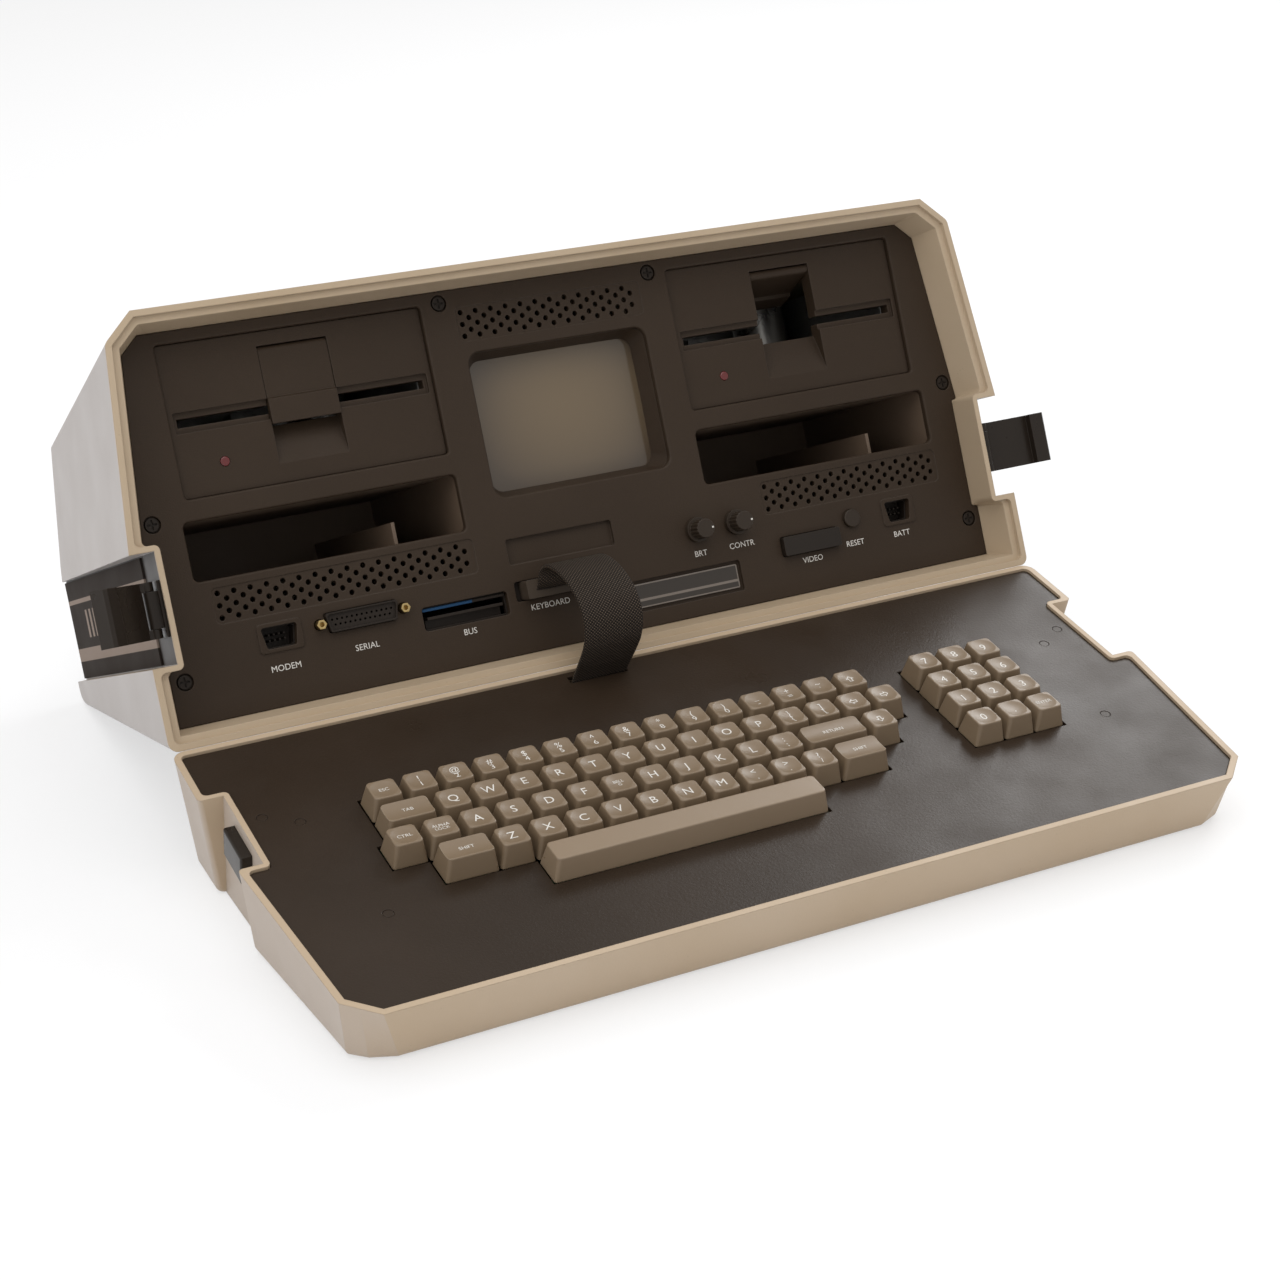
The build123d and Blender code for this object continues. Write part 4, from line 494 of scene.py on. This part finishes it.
dress(strip, "side_bands")

# ---------------------------------------------------------------- rubber feet and drive belts
# Moulded black rubber: four round feet stuck under the case's floor, and the flat belt that runs from each drive's
# motor pulley to its flywheel.
rubber = surface(
    "rubber", (0.02, 0.019, 0.018), (0.035, 0.033, 0.03), rough=0.8, uneven=0.4, scale=1200.0, strength=0.5
)
dress(rubber, "rubber_feet", "drive_belts")

# ---------------------------------------------------------------- disk drives, inside
# Die-cast frames, spindles and head carriages. Motors, pulleys, rails and the doors' hinge pins are bright steel.
cast = surface(
    "cast_aluminium", (0.45, 0.45, 0.44), (0.38, 0.37, 0.35), rough=0.5, scale=500.0, strength=0.6, Metallic=1.0
)
dress(cast, "drive_frames", "spindle_left", "spindle_right", "head_carriage_left", "head_carriage_right")
steel = surface(
    "bright_steel", (0.55, 0.54, 0.52), (0.45, 0.43, 0.40), rough=0.3, scale=900.0, strength=0.1, Metallic=1.0
)
dress(steel, "drive_motors", "motor_pulley_left", "motor_pulley_right", "head_rails", "door_pins")

# ---------------------------------------------------------------- sheet metal and boards
# Shelves, tube clamp, power supply box and the cans of the panel's controls are painted or plated sheet. The boards
# are glass fibre under green lacquer, carried by columns that are moulded in the two cases.
sheet = surface(
    "painted_sheet", (0.10, 0.10, 0.10), (0.13, 0.13, 0.12), rough=0.5, scale=900.0, strength=0.3
)
dress(sheet, "drive_shelves", "tube_clamp", "panel_controls", "power_supply")
card_green = surface(
    "board_lacquer", (0.03, 0.10, 0.045), (0.04, 0.13, 0.05), rough=0.35, uneven=0.4, scale=600.0, strength=0.3
)
dress(card_green, "logic_board", "keyboard_board")

# ---------------------------------------------------------------- picture tube
# Small tube held by a clamp behind its surround, with a copper coil round its neck. Its face is gently domed glass
# over a pale phosphor, with painted shade that darkens it from its middle towards its edges.
winding = surface(
    "copper_winding", (0.40, 0.16, 0.07), (0.30, 0.11, 0.05), rough=0.4, uneven=0.4,
    scale=900.0, strength=0.4, Metallic=0.8,
)
dress(winding, "deflection_yoke")
screen_glass = surface(
    "screen_glass", (0.150, 0.105, 0.055), (0.130, 0.090, 0.048), rough=0.4, uneven=0.5,
    scale=900.0, strength=0.02, Coat_Weight=1.0, Coat_Roughness=0.06,
)
shade_centre_u = 0.004
shade_centre_v = 0.140
shade_half_width = 0.062
shade_half_height = 0.048
tree = screen_glass.node_tree
over = calculate(tree, "DIVIDE", calculate(tree, "SUBTRACT", distance(tree, right), shade_centre_u), shade_half_width)
high = calculate(tree, "DIVIDE", calculate(tree, "SUBTRACT", distance(tree, panel_up), shade_centre_v), shade_half_height)
edge_shade_reach = calculate(
    tree, "ADD", calculate(tree, "MULTIPLY", over, over), calculate(tree, "MULTIPLY", high, high)
)
# Painted shade: the screen darkens from its middle out to its edges.
painted(screen_glass, calculate(tree, "MINIMUM", edge_shade_reach, 1.0), (0.070, 0.047, 0.027))
dress(screen_glass, "picture_tube")

# Plane of the display unit's rim, which lies half of the gap between the two rims behind the fold.
half_gap = 0.00015
face = Matrix.Translation(fold - panel_out * half_gap) @ Matrix((right, panel_up, panel_out)).transposed().to_4x4()
glass_u = 0.001
glass_v = 0.136
glass_half_width = 0.0517
glass_half_height = 0.0387
glass_back = -0.037
dome_height = 0.0034
dome_fall = 0.55
dome_sink = 0.0005
bpy.ops.mesh.primitive_grid_add(x_subdivisions=28, y_subdivisions=22, size=2.0, calc_uvs=False)
tube_face = bpy.context.object
tube_face.name = "tube_face"
for vertex in tube_face.data.vertices:
    a = vertex.co.x
    b = vertex.co.y
    dome = dome_height * (1 - a * a * dome_fall) * (1 - b * b * dome_fall) - dome_sink
    spot = (glass_u + a * glass_half_width, glass_v + b * glass_half_height, glass_back + max(dome, 0.0))
    vertex.co = face @ Vector(spot)
bpy.ops.object.shade_smooth()
tube_face.data.materials.append(screen_glass)
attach(tube_face, "display_unit")

# ---------------------------------------------------------------- front panel, bezels and screen surround
# Dark brown moulded plastic with a fine grain: the recessed panel, held by six screws, the drives' bezels and doors
# and the tube's surround. The two disk pockets behind the panel are painted a paler brown: painted light that lifts
# their dim walls.
# Its edges are paler: wear, and painted highlights along the bezels and doors.
panel_black = surface(
    "panel_plastic", (0.034, 0.0212, 0.0124), (0.046, 0.030, 0.0185), rough=0.55, uneven=0.5,
    scale=1300.0, strength=0.45, edge=0.0009, wear_and_highlight_colour=(0.060, 0.043, 0.031), Specular_IOR_Level=0.25,
)
dress(panel_black, "front_panel", "drive_bezels", "screen_surround", "drive_door_left", "drive_door_right")
# Painted light: the pockets' walls get a paler brown than the panel.
pocket_brown_lightened = surface(
    "pocket_plastic_lightened", (0.125, 0.086, 0.058), (0.145, 0.102, 0.070), rough=0.6, uneven=0.5, scale=1300.0, strength=0.3
)
dress(pocket_brown_lightened, "disk_pockets")

# ---------------------------------------------------------------- drive lamps
# Small red lenses pushed through the bezels, unlit.
red_lens = surface(
    "red_lens", (0.12, 0.008, 0.009), (0.09, 0.006, 0.008), rough=0.16, uneven=0.2, strength=0.02, Coat_Weight=0.6
)
dress(red_lens, "drive_lamps")

# ---------------------------------------------------------------- name plate
# Dark satin plate glued into its recess, blank but for a thin bright edge and one bright line below its middle.
blank = surface(
    "name_plate_metal", (0.035, 0.028, 0.022), (0.045, 0.036, 0.03), rough=0.35, strength=0.1
)
plate_u = 0.044
plate_v = 0.028
plain_half_width = 0.0383
plain_half_height = 0.0060
line_height = (0.0249, 0.0263)
tree = blank.node_tree
over = calculate(tree, "ABSOLUTE", calculate(tree, "SUBTRACT", distance(tree, right), plate_u), 0.0)
high = calculate(tree, "ABSOLUTE", calculate(tree, "SUBTRACT", distance(tree, panel_up), plate_v), 0.0)
rim = calculate(
    tree,
    "MAXIMUM",
    calculate(tree, "GREATER_THAN", over, plain_half_width),
    calculate(tree, "GREATER_THAN", high, plain_half_height),
)
bar = within(tree, distance(tree, panel_up), *line_height)
painted(blank, calculate(tree, "MAXIMUM", rim, bar), (0.20, 0.17, 0.145))
dress(blank, "name_plate")

# ---------------------------------------------------------------- sockets, screws and key switches
# Matt black plastic or blackened steel: the modem, battery and serial sockets in the panel, the panel's screws and
# the switches under the keys. The serial socket's jackscrews are brass.
soft_black = surface(
    "switch_plastic", (0.018, 0.0125, 0.009), (0.028, 0.020, 0.0145), rough=0.5, uneven=0.4, Specular_IOR_Level=0.25
)
dress(soft_black, "panel_connectors", "serial_connector", "panel_screws", "key_switches")
brass = surface(
    "brass", (0.60, 0.45, 0.20), (0.45, 0.33, 0.16), rough=0.3, uneven=0.4, scale=900.0, strength=0.1, Metallic=1.0
)
dress(brass, "jackscrews")

# ---------------------------------------------------------------- bus connector
# Edge connector in matt black plastic, which carries a short blue strip above its card.
bus_black = surface(
    "bus_plastic", (0.018, 0.0125, 0.009), (0.028, 0.020, 0.0145), rough=0.5, uneven=0.4, Specular_IOR_Level=0.25
)
blue_width = (-0.112, -0.078)
blue_height = (0.0432, 0.0452)
tree = bus_black.node_tree
blue_part = calculate(
    tree,
    "MULTIPLY",
    within(tree, distance(tree, right), *blue_width),
    within(tree, distance(tree, panel_up), *blue_height),
)
painted(bus_black, blue_part, (0.012, 0.065, 0.16))
dress(bus_black, "bus_connector")

# ---------------------------------------------------------------- knobs, reset button and cable plug
# Dark brown knobs pushed on their shafts, and the reset button, which slides in its switch behind the panel. The
# cable's plug is moulded in a slightly paler plastic.
# Their edges are paler: wear, and painted highlights.
knob_brown = surface(
    "knob_plastic", (0.030, 0.0205, 0.0135), (0.040, 0.028, 0.019), rough=0.45, uneven=0.4, edge=0.0005,
    wear_and_highlight_colour=(0.055, 0.041, 0.030), Specular_IOR_Level=0.3,
)
dress(knob_brown, "knob_brightness", "knob_contrast", "reset_button")
plug_brown = surface(
    "plug_plastic", (0.058, 0.043, 0.031), (0.070, 0.052, 0.038), rough=0.45, uneven=0.4, Specular_IOR_Level=0.3
)
dress(plug_brown, "ribbon_plug")

# ---------------------------------------------------------------- latches, handle and mains inlet
# Glossy black mouldings: the side latches with their brackets and keepers, the carry handle and its ears, the mains
# inlet with its rocker, and the plug that joins the video contacts. Their edges are painted a little paler, as wear
# and as painted highlights.
gloss_black = surface(
    "black_plastic", (0.017, 0.012, 0.0085), (0.027, 0.020, 0.015), rough=0.3, uneven=0.4, strength=0.1,
    edge=0.0006, wear_and_highlight_colour=(0.040, 0.030, 0.022), Specular_IOR_Level=0.3,
)
dress(gloss_black, "latch_left", "latch_right", "latch_brackets", "latch_keepers", "carry_handle", "handle_ears")
dress(gloss_black, "power_inlet", "power_rocker", "video_plug")

# ---------------------------------------------------------------- keyboard case
# The same moulding as the display unit's case, loose and set over the panel to carry. Its left side is painted
# paler, partly bleached and partly painted light on the side that faces the left lamp.
tray_skin = surface(
    "tray_skin", (0.51, 0.40, 0.285), (0.43, 0.315, 0.195), rough=0.48, uneven=0.45, specks=0.25,
    scale=900.0, strength=0.22, edge=0.0008,
)
left_end = -0.2
fade_and_light = -0.75
tree = tray_skin.node_tree
facing = tree.nodes.new("ShaderNodeNewGeometry")
lateral = tree.nodes.new("ShaderNodeSeparateXYZ")
tree.links.new(facing.outputs["Normal"], lateral.inputs["Vector"])
leftward = calculate(tree, "MULTIPLY", lateral.outputs["X"], fade_and_light)
outer_left = calculate(tree, "LESS_THAN", distance(tree, right), left_end)
# Bleaching and painted light: faces turned to the left are paler.
faded_and_lit_left = calculate(tree, "MULTIPLY", calculate(tree, "MAXIMUM", leftward, 0.0), outer_left)
painted(tray_skin, faded_and_lit_left, (0.43, 0.375, 0.335))
dress(tray_skin, "keyboard_case")

# ---------------------------------------------------------------- keyboard plate and its screws
# Dark brown moulded plate with the keys' openings, sunk into the case and screwed to its posts. Its satin grain is
# rubbed unevenly smooth by use.
plate_brown = surface(
    "plate_plastic", (0.027, 0.0175, 0.011), (0.040, 0.0265, 0.0175), rough=0.34, uneven=0.6,
    scale=700.0, strength=0.3, edge=0.0006, Specular_IOR_Level=0.22,
)
dress(plate_brown, "keyboard_plate", "keyboard_screws")

# ---------------------------------------------------------------- keys
# Grey-brown keycaps with dished tops, pushed on their switches, paler along their edges: wear, and painted
# highlights. The space bar is painted paler, a painted highlight on its long top.
key_plastic = surface(
    "key_plastic", (0.205, 0.148, 0.094), (0.235, 0.175, 0.115), rough=0.36, uneven=0.4,
    scale=2200.0, strength=0.12, edge=0.0006, wear_and_highlight_colour=(0.36, 0.29, 0.21),
)
dress(key_plastic, "number_keys", "upper_keys", "home_keys", "lower_keys", "keypad_keys")
# Painted highlight: the space bar is a paler copy of the keys' plastic.
space_bar_highlit = surface(
    "space_bar_highlit", (0.255, 0.188, 0.125), (0.28, 0.21, 0.145), rough=0.33, uneven=0.4,
    scale=2200.0, strength=0.12, edge=0.0006, wear_and_highlight_colour=(0.38, 0.31, 0.23),
)
dress(space_bar_highlit, "space_bar")

# ---------------------------------------------------------------- words on the panel
# Plain words under the sockets and controls, printed in white ink a twentieth of a millimetre above the panel.
white_ink = surface(
    "white_ink", (0.72, 0.70, 0.66), (0.6, 0.57, 0.52), rough=0.5, uneven=0.4, strength=0.05
)


def letters(name, plane, words, body, lift):
    """One mesh of plain words; each is its text, x, y and letter height. Lift gives the ink's height at a point."""
    made = []
    for text, x, y, size in words:
        bpy.ops.object.text_add()
        word = bpy.context.object
        word.data.body = text
        word.data.size = size
        word.data.align_x = "CENTER"
        word.data.align_y = "CENTER"
        word.data.resolution_u = 3
        word.data.space_line = 0.85
        bpy.ops.object.convert(target="MESH")
        word = bpy.context.object
        for vertex in word.data.vertices:
            px = vertex.co.x + x
            py = vertex.co.y + y
            vertex.co = plane @ Vector((px, py, lift(vertex.co.x, vertex.co.y)))
        made.append(word)
    bpy.ops.object.select_all(action="DESELECT")
    for word in made:
        word.select_set(True)
    bpy.context.view_layer.objects.active = made[0]
    bpy.ops.object.join()
    piece = bpy.context.object
    piece.name = name
    piece.data.materials.clear()
    piece.data.materials.append(white_ink)
    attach(piece, body)


labels = [
    ("MODEM", -0.187, 0.0300),
    ("SERIAL", -0.1415, 0.0320),
    ("BUS", -0.083, 0.0283),
    ("KEYBOARD", -0.034, 0.0340),
    ("BRT", 0.0620, 0.0445),
    ("CONTR", 0.0885, 0.0448),
    ("VIDEO", 0.132, 0.0285),
    ("RESET", 0.1615, 0.0325),
    ("BATT", 0.1935, 0.0325),
]
label_height = 0.0046
panel_print = -0.02195
words = [(*label, label_height) for label in labels]
letters("panel_labels", face, words, "display_unit", lambda x, y: panel_print)

# ---------------------------------------------------------------- key legends
# Letters, digits and signs in the same white ink, on the dished tops of the keys. Each row's legends are one piece
# that moves with its keys.
slope = radians(9.0)
keys_rear = Vector((0.0, cos(slope), sin(slope)))
keys_up = Vector((0.0, -sin(slope), cos(slope)))
tray = Matrix.Translation(fold - keys_up * half_gap) @ Matrix((right, keys_rear, keys_up)).transposed().to_4x4()
pitch = 0.01905
first_u = -0.1786
first_y = -0.0795
dish_r = 0.026
dish_low = 0.0102 - 0.0009
ink_gap = 0.00006


def on_key(x, y):
    """Height of the ink on a dished key top."""
    return dish_low + (x * x + y * y) / (2 * dish_r) + ink_gap


def on_wide_key(x, y):
    """Height of the ink on a wide key's top, dished front to back only."""
    return dish_low + y * y / (2 * dish_r) + ink_gap


number_names = ["ESC", "!\n1", "@\n2", "#\n3", "$\n4", "%\n5", "^\n6", "&\n7", "*\n8", "(\n9", ")\n0", "_\n-", "+\n=",
                "~\n`", ""]
upper_names = list("QWERTYUIOP") + ["}\n{", "]\n[", "", ""]
home_names = ["CTRL", "ALPHA\nLOCK", "A", "S", "D", "F", "BELL\nG", "H", "J", "K", "L", ":\n;"]
lower_names = list("ZXCVBNM") + ["<\n,", ">\n.", "?\n/"]
large = 0.0072
medium = 0.0054
small = 0.0032


def key_size(text):
    """Letter height for a legend: single letters are large, pairs and words smaller."""
    if len(text) == 1:
        return large
    if len(text) == 3 and "\n" in text:
        return medium
    return small if "\n" not in text else small * 0.9


rows = [
    ("number_legends", "number_keys", number_names, 0.0, 0),
    ("upper_legends", "upper_keys", upper_names, 1.5, 1),
    ("lower_legends", "lower_keys", lower_names, 2.25, 3),
]
for name, body, names, start, row in rows:
    words = [
        (text, first_u + (start + place) * pitch, first_y - row * pitch, key_size(text))
        for place, text in enumerate(names)
        if text
    ]
    letters(name, tray, words, body, on_key)
words = [
    (text, first_u + (place - 0.25) * pitch, first_y - 2 * pitch, key_size(text))
    for place, text in enumerate(home_names)
]
letters("home_legends", tray, words, "home_keys", on_key)
letters("tab_legend", tray, [("TAB", first_u + 0.25 * pitch, first_y - pitch, small)], "upper_keys", on_wide_key)
letters(
    "return_legend", tray, [("RETURN", first_u + 12.25 * pitch, first_y - 2 * pitch, small)], "home_keys", on_wide_key
)
letters(
    "shift_legends",
    tray,
    [("SHIFT", first_u + place * pitch, first_y - 3 * pitch, small) for place in (1.0, 12.5)],
    "lower_keys",
    on_wide_key,
)
keypad_u = 0.1358
keypad_names = ["7", "8", "9", "4", "5", "6", "1", "2", "3", "0", ".", "ENTER"]
words = [
    (text, keypad_u + (place % 3) * pitch, first_y - (place // 3) * pitch, key_size(text))
    for place, text in enumerate(keypad_names)
]
letters("keypad_legends", tray, words, "keypad_keys", on_key)


def arrows(name, body, places):
    """Outlined arrows on cursor keys; each is its x, y and the quarter turns from pointing up."""
    size = 0.00085
    outer = [(0, 3.0), (2.8, 0.2), (1.3, 0.2), (1.3, -2.6), (-1.3, -2.6), (-1.3, 0.2), (-2.8, 0.2)]
    inner = [(0, 2.2), (1.6, 0.75), (0.75, 0.75), (0.75, -2.1), (-0.75, -2.1), (-0.75, 0.75), (-1.6, 0.75)]
    shape = bmesh.new()
    for x, y, quarter in places:
        loops = []
        for outline in (outer, inner):
            loop = []
            for a, b in outline:
                for _ in range(quarter):
                    a, b = -b, a
                spot = Vector((x + a * size, y + b * size, on_key(a * size, b * size)))
                loop.append(shape.verts.new(tray @ spot))
            loops.append(loop)
        for step in range(len(outer)):
            other = (step + 1) % len(outer)
            shape.faces.new((loops[0][step], loops[0][other], loops[1][other], loops[1][step]))
    mesh = bpy.data.meshes.new(name)
    shape.to_mesh(mesh)
    shape.free()
    piece = bpy.data.objects.new(name, mesh)
    scene.collection.objects.link(piece)
    mesh.materials.append(white_ink)
    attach(piece, body)


arrows("up_arrow", "number_keys", [(first_u + 14 * pitch, first_y, 0)])
arrows(
    "side_arrows",
    "upper_keys",
    [(first_u + 13.5 * pitch, first_y - pitch, 1), (first_u + 14.5 * pitch, first_y - pitch, 3)],
)
arrows("down_arrow", "home_keys", [(first_u + 13.75 * pitch, first_y - 2 * pitch, 2)])

# ---------------------------------------------------------------- knob marks
# A small white mark printed on the front of each knob, near its edge, that turns with it.
knob_front = -0.00944
knob_v = 0.058
mark_side = 0.0044
mark_half_width = 0.0006
mark_half_height = 0.0005
for name, x in (("brightness", 0.062), ("contrast", 0.087)):
    bpy.ops.mesh.primitive_plane_add(size=2.0, calc_uvs=False)
    pointer = bpy.context.object
    pointer.name = name + "_pointer"
    for vertex in pointer.data.vertices:
        across = x + mark_side + vertex.co.x * mark_half_width
        vertex.co = face @ Vector((across, knob_v + vertex.co.y * mark_half_height, knob_front))
    pointer.data.materials.append(white_ink)
    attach(pointer, "knob_" + name)

# ---------------------------------------------------------------- floor and light
# Pale seamless floor that keeps the object's soft shadow, and plain soft light from above and behind.
bpy.ops.mesh.primitive_plane_add(size=30, location=(0, 0, -0.0005))
floor = bpy.context.object
floor.name = "floor"
white = bpy.data.materials.new("floor_white")
white.use_nodes = True
tree = white.node_tree
shader = tree.nodes["Principled BSDF"]
shader.inputs["Base Color"].default_value = (0.92, 0.935, 0.96, 1.0)
shader.inputs["Roughness"].default_value = 0.9
glow = tree.nodes.new("ShaderNodeEmission")
glow.inputs["Color"].default_value = (1.0, 1.0, 1.0, 1.0)
glow.inputs["Strength"].default_value = 1.05
seen = tree.nodes.new("ShaderNodeLightPath")
either = tree.nodes.new("ShaderNodeMath")
either.operation = "MAXIMUM"
every = tree.nodes.new("ShaderNodeMath")
every.operation = "MAXIMUM"
share = tree.nodes.new("ShaderNodeMath")
share.operation = "MULTIPLY"
share.inputs[1].default_value = 0.55
washed = tree.nodes.new("ShaderNodeMixShader")
tree.links.new(seen.outputs["Is Camera Ray"], either.inputs[0])
tree.links.new(seen.outputs["Is Glossy Ray"], either.inputs[1])
tree.links.new(either.outputs["Value"], every.inputs[0])
tree.links.new(seen.outputs["Is Transmission Ray"], every.inputs[1])
tree.links.new(every.outputs["Value"], share.inputs[0])
tree.links.new(share.outputs["Value"], washed.inputs["Fac"])
tree.links.new(shader.outputs["BSDF"], washed.inputs[1])
tree.links.new(glow.outputs["Emission"], washed.inputs[2])
tree.links.new(washed.outputs["Shader"], tree.nodes["Material Output"].inputs["Surface"])
floor.data.materials.append(white)

world = bpy.data.worlds.new("plain")
scene.world = world
world.use_nodes = True
tree = world.node_tree
ambient = tree.nodes["Background"]
ambient.inputs["Color"].default_value = (1.0, 0.975, 0.945, 1.0)
ambient.inputs["Strength"].default_value = 0.62
backdrop = tree.nodes.new("ShaderNodeBackground")
backdrop.inputs["Color"].default_value = (1.0, 1.0, 1.0, 1.0)
backdrop.inputs["Strength"].default_value = 1.0
seen = tree.nodes.new("ShaderNodeLightPath")
either = tree.nodes.new("ShaderNodeMixShader")
tree.links.new(seen.outputs["Is Camera Ray"], either.inputs["Fac"])
tree.links.new(ambient.outputs["Background"], either.inputs[1])
tree.links.new(backdrop.outputs["Background"], either.inputs[2])
tree.links.new(either.outputs["Shader"], tree.nodes["World Output"].inputs["Surface"])


def softbox(name, place, target, width, height, power):
    """Square area lamp aimed at a point."""
    lamp = bpy.data.lights.new(name, "AREA")
    lamp.shape = "RECTANGLE"
    lamp.size = width
    lamp.size_y = height
    lamp.energy = power
    thing = bpy.data.objects.new(name, lamp)
    scene.collection.objects.link(thing)
    thing.location = place
    aim = Vector(target) - Vector(place)
    thing.rotation_euler = aim.to_track_quat("-Z", "Y").to_euler()


softbox("window", (1.95, 1.25, 1.75), (0.0, 0.1, 0.1), 1.3, 1.2, 27.0)
softbox("overhead", (-0.3, -0.2, 2.3), (0.0, 0.1, 0.0), 2.2, 2.2, 22.0)
softbox("left_fill", (-2.2, -0.6, 1.2), (0.0, 0.1, 0.1), 1.4, 1.4, 10.0)

scene.view_settings.view_transform = "Standard"
